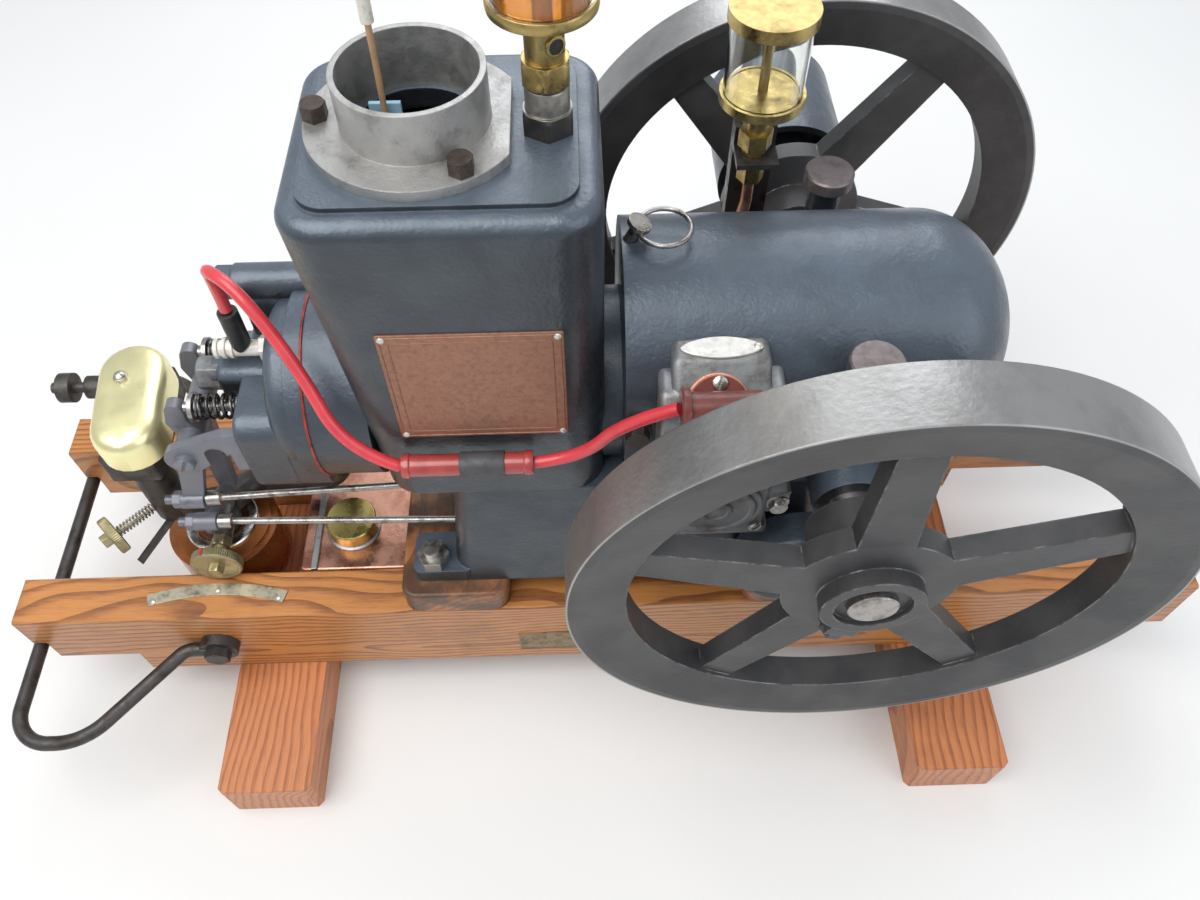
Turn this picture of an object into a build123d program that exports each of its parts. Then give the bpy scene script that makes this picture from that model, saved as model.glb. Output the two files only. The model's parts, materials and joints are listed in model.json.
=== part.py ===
from build123d import *
from math import atan2, cos, degrees, radians, sin, sqrt, tan
import os

os.makedirs("parts", exist_ok=True)

# A small horizontal kerosene engine with two flywheels, bolted to a timber skid.
# Millimetres. While it is built, x = 0 and y = 0 are the middle of the skid,
# +X runs from the cylinder head to the crank, +Y is the belt pulley's side,
# and z = 0 is the ground under the skid.

# Skid
rail_length = 910
rail_width = 38
rail_height = 91
rail_spacing = 156
rail_relief = 29
left_relief_length = 73
right_relief_length = 137
rail_edge = 1.5
timber_length = 406
timber_width = 72
timber_height = 45
timber_spacing = 547
timber_chamfer = 4
bearer_width = 80
bearer_height = 24
bearer_end_radius = 12
bearer_edge = 3
left_bearer_x = -117
right_bearer_x = 140

# Lifting loop of bent rod, bolted through an eye on the outer face of each rail
loop_rod = 11
loop_z = 92
loop_bar_x = -453
loop_half_width = 175
loop_corner_x = -399
loop_neck_x = -337
loop_eye_x = -311
loop_neck_radius = 14
loop_corner_radius = 45
loop_bar_radius = 28
loop_clearance = 2.5
loop_face_gap = 0.5
loop_eye_radius = 15
loop_eye_thickness = 5
loop_bolt_radius = 10
loop_bolt_head = 7

# Engine bed
bed_left = -116
bed_right = 150
bed_half_width = 84
bed_height = 104
bed_end_draft = 9
bed_side_draft = 13
bed_corner_radius = 14
foot_thickness = 14
foot_reach = 30
foot_length = 34
foot_corner = 6
foot_nut_inset = 15
foot_nut_shift = 6
foot_nut_radius = 12
foot_nut_height = 10
foot_stud_radius = 6
foot_stud_height = 16
sump_depth = 64
sump_round = 34
rod_port_radius = 9
rod_port_depth = 32

# Crankcase cover, a half barrel with a domed end
case_left = 8
case_radius = 75
case_barrel_rise = 38
case_straight_end = 195
case_dome_length = 60
case_band_height = 4
case_band_width = 3

# Crankshaft, its bearings and the capped oil wells above them
crank_x = 147
crank_rise = 140
shaft_radius = 15
shaft_end_y = 184
shaft_clearance = 0.05
shaft_room = 6
bearing_radius = 24
bearing_reach = 112
bearing_root = 60
well_y = 80
well_radius = 11
well_rise = 91
well_cap_radius = 16
well_cap_height = 9
well_cap_groove = 1.2

# Flywheels
wheel_radius = 178
wheel_inner_radius = 142.5
wheel_width = 36
wheel_face_y = 181
wheel_dish = 7.5
wheel_land = 6
wheel_hub_radius = 31
wheel_hub_length = 58
wheel_hub_recess = 4
wheel_hub_recess_radius = 23
wheel_cone_radius = 52
wheel_cone_length = 14
spoke_count = 5
spoke_root_width = 34
spoke_tip_width = 24
spoke_thickness = 15
spoke_sink = 2
near_spoke_angle = 20
far_spoke_angle = 56
hub_lug_reach = 40
hub_lug_width = 20
hub_lug_length = 16
hub_lug_angle = 252
hub_bolt_radius = 8
hub_bolt_height = 8

# Belt pulley on the far end of the shaft
pulley_radius = 52
pulley_wall = 5
pulley_width = 104
pulley_face_y = 190
pulley_web_depth = 42
pulley_web = 7
pulley_hub_radius = 24
pulley_ring_radius = 38
pulley_ring_height = 3
pulley_shaft_end = 6

# Cylinder block with its water hopper
block_right = -4
block_top_left = -167
block_bottom_left = -150
block_height = 233
block_half_width = 72
block_corner_radius = 24
block_top_round = 9
hopper_floor_rise = 112
hopper_wall = 9
hopper_mouth_radius = 33
barrel_flange_radius = 65
barrel_flange_left = -190
barrel_flange_right = -152
neck_radius = 58
pad_height = 3
pad_inset = 12
port_boss_radius = 18
port_boss_left = -170

# Aluminium filling collar on the hopper
collar_x = -98
collar_flange_radius = 57
collar_flange_flat = 48
collar_flange_thickness = 6
collar_radius = 38.5
collar_wall = 3.2
collar_height = 28

# Gauge rod and its pale blue clip, standing in the hopper's mouth
gauge_x = -112.5
gauge_y = -3
gauge_lean = 2
gauge_radius = 1.6
gauge_top_radius = 3.2
gauge_rod_length = 132
gauge_top_length = 42
gauge_depth = 72
clip_width = 16
clip_thickness = 2.5
clip_height = 14
clip_reach = 32
rod_hole_gap = 0.3

# Cylinder head: a round body and a square valve chest
head_front = -218
head_band_radius = 64
head_band = 12
head_radius = 58
head_round = 10
chest_front = -242
chest_near_y = -56
chest_far_y = 50
chest_bottom_rise = -54
chest_top_rise = 18
chest_corner = 14
chest_round = 4
head_boss_radius = 11.5
head_boss_front = -263
head_boss_y = 2
head_boss_rise = 7
head_plug_radius = 10
head_plug_length = 10
exhaust_radius = 12
exhaust_bore = 9
exhaust_bore_depth = 5
exhaust_left = -252
exhaust_y = 45
exhaust_rise = 72

# Spark plug lying along X, with an upright boot on its tip
plug_y = 2
plug_rise = 31
plug_hex_radius = 9
plug_hex_length = 8
plug_body_radius = 5.5
plug_tip_x = -256
plug_rib = 1.2
plug_rib_pitch = 5
plug_rib_count = 3
boot_x = -238
boot_radius = 6.5
boot_rise = 66
boot_gap = 0.3

# Valve gear: two valves side by side, two rockers on one pin
valve_y = 24
valve_rise = 3
valve_stem_radius = 3.5
valve_stem_end = -281
valve_stem_depth = 20
valve_hole_depth = 28
valve_clearance = 0.4
spring_radius = 9
spring_wire = 1.3
spring_turns = 6
retainer_x = -273
retainer_radius = 10
retainer_thickness = 3
seat_gap = 0.3
rocker_pin_x = -284
rocker_pin_drop = 26
rocker_pin_radius = 5
rocker_hub_radius = 9
rocker_bore_gap = 0.05
rocker_thickness = 8.5
rocker_tip_radius = 6
rocker_tip_gap = 0.3
rocker_bow_radius = 7
rocker_bow_x = -5.5
rocker_bow_z = 14
rocker_hub_split = -16
rocker_side_gap = 0.5
near_ear_y = -46
far_ear_y = 38
ear_thickness = 7
ear_radius = 13.5
pin_head_radius = 7
pin_head_height = 3
bracket_foot_width = 10
bracket_foot_bottom = -12
bracket_foot_top = 27
bracket_shoulder_radius = 9
bracket_notch_width = 14
bracket_notch_x = -262
bracket_notch_rise = 6

# Pushrods from the rockers to the bed
rod_radius = 2.6
rod_gap = 0.5
rod_collar_radius = 5.5
rod_collar_length = 10
rod_end_x = -92
barrel_radius = 7
barrel_length = 17
lock_nut_radius = 6.5
lock_nut_length = 6
screw_radius = 3.5
screw_stub = 6
upper_rod_rise = -85
upper_rod_near_y = -40
upper_rod_far_y = -30
upper_barrel_x = -301
lower_rod_rise = -110
lower_rod_near_y = -44
lower_rod_far_y = -49
lower_barrel_x = -299.5
lower_arm_y = -9.5
lower_arm_x = -290
lower_arm_end_radius = 6
lower_cross_radius = 5.5

# Carburettor: a column from the bowl up to an oblong brass cover
carb_x = -332
carb_turn = -7
cover_length = 96
cover_width = 57
cover_height = 28
cover_round = 7
cover_top_z = 290
cover_nut_radius = 5.5
cover_nut_height = 6
carb_block_near_y = -38
carb_block_far_y = 46
carb_block_left = -352
carb_block_width = 36
carb_block_drop = 24
column_x = -338
column_y = -14
column_radius = 14
elbow_radius = 13
elbow_low_z = 150
elbow_high_z = 200
chamber_x = -311
chamber_y = -12
chamber_radius = 17
chamber_top_z = 162
bowl_radius = 43
bowl_bottom_z = 70
bowl_top_z = 134
bowl_round = 20
bowl_lid_radius = 38
bowl_lid_height = 3
intake_radius = 11
intake_y = 18
intake_z = 152
intake_x = -214
intake_bend = 22
intake_first_x = -285
thumb_y = 36
thumb_z = 253
thumb_shaft_radius = 4
thumb_end_x = -407
thumb_knob_x = -401
thumb_knob_radius = 11
thumb_knob_length = 10
thumb_collar_x = -381
thumb_collar_radius = 8.5

# Needle valves with knurled brass knobs
side_needle_z = 180
side_needle_angle = 225
side_needle_start = 10
side_spring_length = 30
side_spring_radius = 4.2
side_knob_radius = 15
side_knob_thickness = 7
needle_nut_radius = 5
needle_nut_length = 6
needle_radius = 2.5
front_knob_x = -300
front_knob_y = -57
front_knob_z = 156
front_knob_radius = 19
front_knob_thickness = 8
front_gland_radius = 7
front_gland_y = -40
needle_clearance = 0.05

# Fuel tank between the rails, on a strap
tank_left = -246
tank_right = -160
tank_half_width = 55
tank_top_z = 128
tank_corner = 5
tank_seam_x = -234
tank_seam_width = 3
tank_seam_height = 2
tank_cap_x = -206
tank_cap_y = -17
tank_cap_radius = 20
tank_cap_height = 12
tank_neck_radius = 15
tank_neck_height = 4
strap_thickness = 3
strap_width = 22
strap_half_length = 90

# Magneto on the front of the crankcase, with its bakelite terminal
magneto_left = 28
magneto_right = 100
magneto_top_rise = 92
magneto_bottom_rise = -54
magneto_top_y = 50
magneto_brow_y = 69
magneto_front_y = 98
magneto_brow_drop = 30
magneto_gap = 0.3
magneto_cover_x = 65
magneto_cover_rise = -16
magneto_cover_radius = 30
magneto_cover_length = 7
magneto_edge = 2.5
magneto_lug_reach = 13
magneto_lug_height = 24
magneto_lug_rise = -22
magneto_lug_near_y = 96
terminal_y = -97
terminal_rise = 83
terminal_left = 37
terminal_right = 82
terminal_radius = 9.5
terminal_ring_radius = 11
terminal_ring = 5
terminal_flange_radius = 17
terminal_flange = 4
terminal_foot_radius = 8
socket_radius = 4.3
socket_depth = 8

# Cam gear case left of the crank, below the magneto
cam_case_x = 130
cam_case_rise = -97
cam_case_radius = 42
cam_case_front_y = 112
cam_case_round = 8
cam_case_seat_y = 84
cam_seat_radius = 24
cam_knob_radius = 7
cam_knob_length = 14
cam_knob_y = -98
cam_knob_rise = 4

# Pin with a pull ring on the crankcase cover, and the strap at its right end
pin_x = 13.5
pin_y = 8
pin_lean = 24
pin_radius = 4
pin_length = 20
pin_sink = 6
pin_head = 7.5
pin_head_thickness = 3
pull_ring_radius = 16
pull_ring_wire = 1.5
end_pad_half_width = 14
end_pad_height = 36
end_strap_width = 24
end_strap_height = 38
end_strap_thickness = 4
end_screw_radius = 4.5
end_screw_height = 3

# Sight-feed oilers
oiler_radius = 26.5
oiler_glass_radius = 24.5
oiler_glass_wall = 2
oiler_glass_height = 46
oiler_tray_height = 6
oiler_cap_height = 8
oiler_tube_radius = 3
oiler_seat = 0.3
hopper_oiler_x = -31
hopper_oiler_y = -2
hopper_oiler_steps = ((13.5, 13), (11, 14), (12.5, 13), (8.5, 14))
bearing_oiler_x = 97
bearing_oiler_y = 90
bearing_oiler_z = 388
bearing_oiler_steps = ((9, 17), (8, 9), (11, 12), (7.5, 22))
oiler_hex_step = 2
pipe_radius = 4
pipe_lean_x = 91
pipe_lean_y = 84
pipe_bend_z = 368
pipe_low_z = 334
pipe_bend_radius = 12
post_x = 98.5
post_y = 97
post_width = 27
post_depth = 12
post_wall = 3
post_top_z = 422
post_bottom_z = 62
post_shelf_z = 405
post_shelf_thickness = 4
post_shelf_reach = 24

# Ignition lead, 8 mm over its covering, and the suppressor sleeve in its run
lead_radius = 4
boot_lead_gap = 0.9
sleeve_left_gap = 1.6
sleeve_right_gap = 0.9
terminal_lead_gap = 0.9
sleeve_left = -130
sleeve_right = -49
sleeve_y = -84
sleeve_z = 315
sleeve_radius = 7
sleeve_band_radius = 8
sleeve_band_length = 28
plug_lead_middle = [
    (-241, 5, 395),
    (-226, -8, 415),
    (-205, -25, 413),
    (-184, -54, 376),
    (-162, -83, 326),
]
magneto_lead_middle = [(-19, -84, 319), (6, -92, 366)]

# Heights and places worked out from the sizes above
rail_top = timber_height + rail_height
bed_bottom = rail_top + bearer_height
bed_top = bed_bottom + bed_height
crank_z = bed_bottom + crank_rise
rail_y = rail_spacing / 2
rail_face_y = rail_y + rail_width / 2
timber_x = timber_spacing / 2
barrel_z = crank_z + case_barrel_rise
block_top = bed_top + block_height
deck = block_top + pad_height
valve_z = crank_z + valve_rise
rocker_pin_z = valve_z - rocker_pin_drop
case_right = case_straight_end + case_dome_length
wheel_middle_y = wheel_face_y - wheel_width / 2
pulley_far_y = pulley_face_y + pulley_width

# The part's origin is the middle of its footprint, at ground level.
reach_left = loop_rod / 2 - loop_bar_x
reach_right = rail_length / 2
reach_near = timber_length / 2
to_origin = Location(((reach_left - reach_right) / 2, (reach_near - pulley_far_y) / 2, 0))


def save(piece, node):
    """Names a finished piece, moves it to the part's origin and writes it."""
    solid = piece.part.moved(to_origin)
    solid.label = node
    export_step(solid, "parts/" + node + ".step")


def cylinder_along(start, direction, radius, length):
    """A round bar from a point along a direction."""
    with BuildPart() as bar:
        with BuildSketch(Plane(origin=start, z_dir=direction)):
            Circle(radius)
        extrude(amount=length)
    return bar.part


def hexagon_along(start, direction, radius, length):
    """A hexagonal bar from a point along a direction."""
    with BuildPart() as bar:
        with BuildSketch(Plane(origin=start, z_dir=direction)):
            RegularPolygon(radius, 6)
        extrude(amount=length)
    return bar.part


def arm_between(first, first_radius, second, second_radius, middle_y, thickness):
    """A flat arm in an upright plane: the outline round two circles, thickened."""
    with BuildPart() as arm:
        with BuildSketch(Plane.XZ.offset(-middle_y)):
            with Locations(first):
                Circle(first_radius)
            with Locations(second):
                Circle(second_radius)
            make_hull()
        extrude(amount=thickness / 2, both=True)
    return arm.part


def cord_tube(points, name):
    """A cord's tube: straight runs joined by arcs as large as the runs allow."""
    spots = [Vector(*point) for point in points]
    radii = []
    for before, corner, after in zip(spots, spots[1:], spots[2:]):
        turn = radians((corner - before).get_angle(after - corner))
        shorter = min((corner - before).length, (after - corner).length)
        radii.append(0.45 * shorter / tan(turn / 2))
    print(name, "arc radii", [round(value, 1) for value in radii])
    with BuildPart() as tube:
        with BuildLine() as route:
            FilletPolyline(*spots, radius=radii)
        with BuildSketch(Plane(origin=spots[0], z_dir=spots[1] - spots[0])):
            Circle(lead_radius)
        sweep(path=route.line)
    print(name, "length", round(route.wire().length, 1), "volume", round(tube.part.volume, 1))
    return tube


def case_plan(height):
    """The crankcase's plan at a height: straight sides and a half-ellipse end."""
    with BuildSketch(Plane.XY.offset(height)) as plan:
        with BuildLine():
            Line((case_left, -case_radius), (case_straight_end, -case_radius))
            EllipticalCenterArc(
                (case_straight_end, 0),
                case_dome_length,
                case_radius,
                start_angle=-90,
                arc_size=180,
            )
            Line((case_straight_end, case_radius), (case_left, case_radius))
            Line((case_left, case_radius), (case_left, -case_radius))
        make_face()
    return plan.sketch


# Rails, relieved underneath at both ends, with a rebate where the loop rests
rebate_right = loop_bar_x + loop_rod / 2 + loop_clearance
rebate_top = loop_z + loop_rod / 2 + loop_clearance
relief_z = timber_height + rail_relief
for side, node in ((-1, "front_rail"), (1, "rear_rail")):
    with BuildPart() as rail:
        with BuildSketch(Plane.XZ.offset(-side * rail_y)):
            with BuildLine():
                Polyline(
                    (-rail_length / 2, rail_top),
                    (rail_length / 2, rail_top),
                    (rail_length / 2, relief_z),
                    (rail_length / 2 - right_relief_length, relief_z),
                    (rail_length / 2 - right_relief_length, timber_height),
                    (left_relief_length - rail_length / 2, timber_height),
                    (left_relief_length - rail_length / 2, relief_z),
                    (rebate_right, relief_z),
                    (rebate_right, rebate_top),
                    (-rail_length / 2, rebate_top),
                    close=True,
                )
            make_face()
        extrude(amount=rail_width / 2, both=True)
        chamfer(rail.edges().filter_by(Axis.X).group_by(Axis.Z)[-1], rail_edge)
    save(rail, node)

# Cross timbers, flat on the ground
for side, node in ((-1, "left_cross_timber"), (1, "right_cross_timber")):
    with BuildPart() as timber:
        with BuildSketch(Plane.XY):
            with Locations((side * timber_x, 0)):
                Rectangle(timber_width, timber_length)
        extrude(amount=timber_height)
        chamfer(timber.edges().filter_by(Axis.Z), timber_chamfer)
    save(timber, node)

# Bearers across the rails under the engine's feet
for middle, node in ((left_bearer_x, "left_bearer"), (right_bearer_x, "right_bearer")):
    with BuildPart() as bearer:
        with BuildSketch(Plane.XY.offset(rail_top)):
            with Locations((middle, 0)):
                RectangleRounded(bearer_width, 2 * rail_face_y, bearer_end_radius)
        extrude(amount=bearer_height)
        fillet(bearer.edges().group_by(Axis.Z)[-1], bearer_edge)
    save(bearer, node)

# Lifting loop: one bent rod with an eye at each end, and the two bolts
eye_y = rail_face_y + loop_rod / 2 + loop_face_gap
loop_half = [
    (loop_eye_x, -eye_y, loop_z),
    (loop_neck_x, -eye_y, loop_z),
    (loop_corner_x, -loop_half_width, loop_z),
    (loop_bar_x, -loop_half_width, loop_z),
]
loop_points = loop_half + [(x, -y, z) for x, y, z in reversed(loop_half)]
loop_radii = [loop_neck_radius, loop_corner_radius, loop_bar_radius]
with BuildPart() as loop:
    with BuildLine() as loop_line:
        FilletPolyline(*loop_points, radius=loop_radii + loop_radii[::-1])
    with BuildSketch(Plane(origin=loop_points[0], z_dir=(-1, 0, 0))):
        Circle(loop_rod / 2)
    sweep(path=loop_line.line)
    for side in (-1, 1):
        face_point = (loop_eye_x, side * rail_face_y, loop_z)
        head_point = (loop_eye_x, side * (eye_y + loop_eye_thickness / 2), loop_z)
        eye_depth = eye_y + loop_eye_thickness / 2 - rail_face_y
        add(cylinder_along(face_point, (0, side, 0), loop_eye_radius, eye_depth))
        add(hexagon_along(head_point, (0, side, 0), loop_bolt_radius, loop_bolt_head))
save(loop, "lifting_loop")

# Engine bed: the crankcase's lower half, filleted before it joins the pedestal
with BuildPart() as sump:
    extrude(case_plan(crank_z), amount=-sump_depth)
    sump_edges = sump.edges().group_by(Axis.Z)[0].sort_by(Axis.X)[1:]
    fillet(sump_edges, sump_round)

# Engine bed: tapered pedestal, corner feet, bearing halves and pushrod ports
bed_mid = (bed_left + bed_right) / 2
foot_block = foot_reach + bed_corner_radius
foot_y = bed_half_width - foot_length / 2
foot_left_x = bed_left - foot_reach + foot_block / 2
foot_right_x = bed_right + foot_reach - foot_block / 2
foot_spots = [(x, side * foot_y) for x in (foot_left_x, foot_right_x) for side in (-1, 1)]
cam_case_z = crank_z + cam_case_rise
rod_runs = {}
for name, rise, near_y, far_y, near_x in (
    ("upper", upper_rod_rise, upper_rod_near_y, upper_rod_far_y, upper_barrel_x),
    ("lower", lower_rod_rise, lower_rod_near_y, lower_rod_far_y, lower_barrel_x),
):
    rod_near = Vector(near_x, near_y, crank_z + rise)
    rod_runs[name] = (rod_near, Vector(rod_end_x, far_y, crank_z + rise) - rod_near)
with BuildPart() as bed:
    with BuildSketch(Plane.XY.offset(bed_bottom)):
        with Locations((bed_mid, 0)):
            RectangleRounded(bed_right - bed_left, 2 * bed_half_width, bed_corner_radius)
    with BuildSketch(Plane.XY.offset(bed_top)):
        with Locations((bed_mid, 0)):
            RectangleRounded(
                bed_right - bed_left - 2 * bed_end_draft,
                2 * (bed_half_width - bed_side_draft),
                bed_corner_radius,
            )
    loft()
    with BuildSketch(Plane.XY.offset(bed_bottom)):
        with Locations(*foot_spots):
            RectangleRounded(foot_block, foot_length, foot_corner)
    extrude(amount=foot_thickness)
    add(sump.part)
    for side in (-1, 1):
        boss_start = (crank_x, side * bearing_root, crank_z)
        boss_length = bearing_reach - bearing_root
        add(cylinder_along(boss_start, (0, side, 0), bearing_radius, boss_length))
    cam_seat = (cam_case_x, -bearing_root, cam_case_z)
    cam_seat_length = cam_case_seat_y - bearing_root
    add(cylinder_along(cam_seat, (0, -1, 0), cam_seat_radius, cam_seat_length))
    split(bisect_by=Plane.XY.offset(crank_z), keep=Keep.BOTTOM)
    for near, run in rod_runs.values():
        port_start = near + run * ((bed_left - foot_reach - near.X) / run.X)
        port = cylinder_along(port_start, run, rod_port_radius, foot_reach + rod_port_depth)
        add(port, mode=Mode.SUBTRACT)
    tunnel_start = (crank_x, -bearing_root - 20, crank_z)
    tunnel_radius = shaft_radius + shaft_room
    tunnel = cylinder_along(tunnel_start, (0, 1, 0), tunnel_radius, 2 * bearing_root + 40)
    add(tunnel, mode=Mode.SUBTRACT)
    bore_start = (crank_x, -bearing_reach - 1, crank_z)
    bore_length = 2 * bearing_reach + 2
    bore_radius = shaft_radius + shaft_clearance
    bore = cylinder_along(bore_start, (0, 1, 0), bore_radius, bore_length)
    add(bore, mode=Mode.SUBTRACT)
save(bed, "engine_bed")

# Foot nuts on their studs
nut_z = bed_bottom + foot_thickness
nut_places = [
    (bed_left - foot_nut_inset, -foot_y - foot_nut_shift, nut_z),
    (bed_left - foot_nut_inset, foot_y + foot_nut_shift, nut_z),
    (bed_right + foot_nut_inset, -foot_y, nut_z),
    (bed_right + foot_nut_inset, foot_y, nut_z),
]
with BuildPart() as nuts:
    for nut_base in nut_places:
        add(hexagon_along(nut_base, (0, 0, 1), foot_nut_radius, foot_nut_height))
        add(cylinder_along(nut_base, (0, 0, 1), foot_stud_radius, foot_stud_height))
save(nuts, "foot_nuts")

# Crankcase cover with the upper bearing halves and the wells above them
with BuildPart() as case:
    extrude(case_plan(crank_z), amount=case_barrel_rise)
    with BuildSketch(Plane.YZ.offset(case_left)):
        with Locations((0, barrel_z)):
            Circle(case_radius)
            with Locations((0, -case_radius / 2)):
                Rectangle(2 * case_radius, case_radius, mode=Mode.SUBTRACT)
    extrude(amount=case_straight_end - case_left)
    with BuildSketch(Plane.XY.offset(barrel_z)):
        with BuildLine():
            EllipticalCenterArc(
                (case_straight_end, 0),
                case_dome_length,
                case_radius,
                start_angle=0,
                arc_size=90,
            )
            Line((case_straight_end, case_radius), (case_straight_end, 0))
            Line((case_straight_end, 0), (case_right, 0))
        make_face()
    revolve(axis=Axis((0, 0, barrel_z), (1, 0, 0)), revolution_arc=180)
    with BuildSketch(Plane.XY.offset(crank_z)):
        with Locations((case_right - case_dome_length / 2, 0)):
            Rectangle(case_dome_length, 2 * end_pad_half_width)
    extrude(amount=end_pad_height)
    for side in (-1, 1):
        boss_start = (crank_x, side * bearing_root, crank_z)
        boss_length = bearing_reach - bearing_root
        add(cylinder_along(boss_start, (0, side, 0), bearing_radius, boss_length))
        well_base = (crank_x, side * well_y, crank_z)
        add(cylinder_along(well_base, (0, 0, 1), well_radius, well_rise))
    split(bisect_by=Plane.XY.offset(crank_z), keep=Keep.TOP)
    add(tunnel, mode=Mode.SUBTRACT)
    add(bore, mode=Mode.SUBTRACT)
    pin_direction = Vector(sin(radians(pin_lean)), 0, cos(radians(pin_lean)))
    pin_foot = Vector(pin_x, pin_y, barrel_z + sqrt(case_radius**2 - pin_y**2))
    pin_start = pin_foot - pin_direction * pin_sink
    pin_hole = cylinder_along(pin_start, pin_direction, pin_radius + rod_hole_gap, pin_length)
    add(pin_hole, mode=Mode.SUBTRACT)
save(case, "crankcase_cover")

# Caps on the oil wells
with BuildPart() as caps:
    for side in (-1, 1):
        cap_base = (crank_x, side * well_y, crank_z + well_rise)
        add(cylinder_along(cap_base, (0, 0, 1), well_cap_radius, well_cap_height))
    chamfer(caps.edges().group_by(Axis.Z)[-1], well_cap_groove)
save(caps, "oil_well_caps")

# Pin with a domed head, and the ring through it
ring_hole = pin_foot + pin_direction * (pin_length - pin_sink - pin_head_thickness - 2)
with BuildPart() as case_pin:
    add(cylinder_along(pin_start, pin_direction, pin_radius, pin_length))
    head_start = pin_start + pin_direction * (pin_length - pin_head_thickness)
    add(cylinder_along(head_start, pin_direction, pin_head, pin_head_thickness))
    ring_middle = ring_hole + Vector(pull_ring_radius, 0, 0)
    with BuildSketch(Plane(origin=ring_hole, x_dir=(1, 0, 0), z_dir=(0, 1, 0))):
        Circle(pull_ring_wire)
    revolve(axis=Axis(ring_middle, (0, 0, 1)), revolution_arc=360)
save(case_pin, "case_pin")

# Strap and two screws on the pad at the cover's right end
with BuildPart() as end_strap:
    strap_middle = (case_right, 0, crank_z + end_strap_height / 2)
    with BuildSketch(Plane(origin=strap_middle, x_dir=(0, 1, 0), z_dir=(1, 0, 0))):
        RectangleRounded(end_strap_width, end_strap_height, end_strap_thickness)
    extrude(amount=end_strap_thickness)
    for share in (0.25, 0.75):
        screw_point = (
            case_right + end_strap_thickness,
            0,
            crank_z + end_strap_height * share,
        )
        add(cylinder_along(screw_point, (1, 0, 0), end_screw_radius, end_screw_height))
save(end_strap, "end_strap")

# Crankshaft, straight between its bearings
shaft_stop_y = pulley_face_y + pulley_web_depth + pulley_web + pulley_shaft_end
with BuildPart() as shaft:
    shaft_start = (crank_x, -shaft_end_y, crank_z)
    add(cylinder_along(shaft_start, (0, 1, 0), shaft_radius, shaft_end_y + shaft_stop_y))
    chamfer(shaft.edges(), 1)
save(shaft, "crankshaft")

# Flywheels: a dished rim, a bossed hub and slender spokes
fit_radius = shaft_radius + shaft_clearance
for side, turn, node in (
    (-1, near_spoke_angle, "near_flywheel"),
    (1, far_spoke_angle, "far_flywheel"),
):
    face = wheel_face_y + 2
    inner = wheel_face_y - wheel_width
    hub_start = wheel_face_y + 2 - wheel_hub_length
    with BuildPart() as wheel:
        with BuildSketch(Plane(origin=(crank_x, 0, crank_z), x_dir=(1, 0, 0), z_dir=(0, 0, side))):
            with BuildLine():
                Polyline(
                    (wheel_radius, inner),
                    (wheel_radius - wheel_land, inner),
                    (wheel_inner_radius, inner + wheel_dish),
                    (wheel_inner_radius, wheel_face_y - wheel_dish),
                    (wheel_radius - wheel_land, wheel_face_y),
                    (wheel_radius, wheel_face_y),
                    close=True,
                )
            make_face()
            with BuildLine():
                Polyline(
                    (fit_radius, hub_start),
                    (wheel_hub_radius, hub_start),
                    (wheel_hub_radius, wheel_middle_y - wheel_cone_length),
                    (wheel_cone_radius, wheel_middle_y - spoke_thickness / 2),
                    (wheel_cone_radius, wheel_middle_y + spoke_thickness / 2),
                    (wheel_hub_radius, wheel_middle_y + spoke_thickness / 2 + 2),
                    (wheel_hub_radius, face),
                    (wheel_hub_recess_radius, face),
                    (wheel_hub_recess_radius, face - wheel_hub_recess),
                    (fit_radius, face - wheel_hub_recess),
                    close=True,
                )
            make_face()
        revolve(axis=Axis((crank_x, 0, crank_z), (0, 1, 0)))
        with BuildSketch(Plane.XZ.offset(-side * wheel_middle_y)):
            with Locations((crank_x, crank_z)):
                with PolarLocations(0, spoke_count, start_angle=turn):
                    Polygon(
                        (wheel_hub_radius, -spoke_root_width / 2),
                        (wheel_inner_radius + spoke_sink, -spoke_tip_width / 2),
                        (wheel_inner_radius + spoke_sink, spoke_tip_width / 2),
                        (wheel_hub_radius, spoke_root_width / 2),
                        align=None,
                    )
        extrude(amount=spoke_thickness / 2, both=True)
        lug_turn = radians(hub_lug_angle)
        lug_out = Vector(cos(lug_turn), 0, sin(lug_turn))
        lug_start = Vector(crank_x, side * (face - 1 - hub_lug_length / 2), crank_z)
        lug_root = lug_start + lug_out * (wheel_hub_radius - 3)
        with BuildSketch(Plane(origin=lug_root, x_dir=(0, 1, 0), z_dir=lug_out)):
            Rectangle(hub_lug_length, hub_lug_width)
        extrude(amount=hub_lug_reach - wheel_hub_radius + 3)
        bolt_start = lug_start + lug_out * hub_lug_reach
        add(hexagon_along(bolt_start, lug_out, hub_bolt_radius, hub_bolt_height))
    save(wheel, node)

# Belt pulley: an open drum with a web and a hub
with BuildPart() as pulley:
    web_y = pulley_face_y + pulley_web_depth
    with BuildSketch(Plane(origin=(crank_x, 0, crank_z), x_dir=(1, 0, 0))):
        with BuildLine():
            Polyline(
                (pulley_radius, pulley_face_y),
                (pulley_radius, pulley_far_y),
                (pulley_radius - pulley_wall, pulley_far_y),
                (pulley_radius - pulley_wall, web_y + pulley_web),
                (fit_radius, web_y + pulley_web),
                (fit_radius, pulley_face_y + 4),
                (pulley_hub_radius, pulley_face_y + 4),
                (pulley_hub_radius, web_y),
                (pulley_ring_radius - 3, web_y),
                (pulley_ring_radius - 3, web_y - pulley_ring_height),
                (pulley_ring_radius, web_y - pulley_ring_height),
                (pulley_ring_radius, web_y),
                (pulley_radius - pulley_wall, web_y),
                (pulley_radius - pulley_wall, pulley_face_y),
                close=True,
            )
        make_face()
    revolve(axis=Axis((crank_x, 0, crank_z), (0, 1, 0)))
save(pulley, "belt_pulley")

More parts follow.
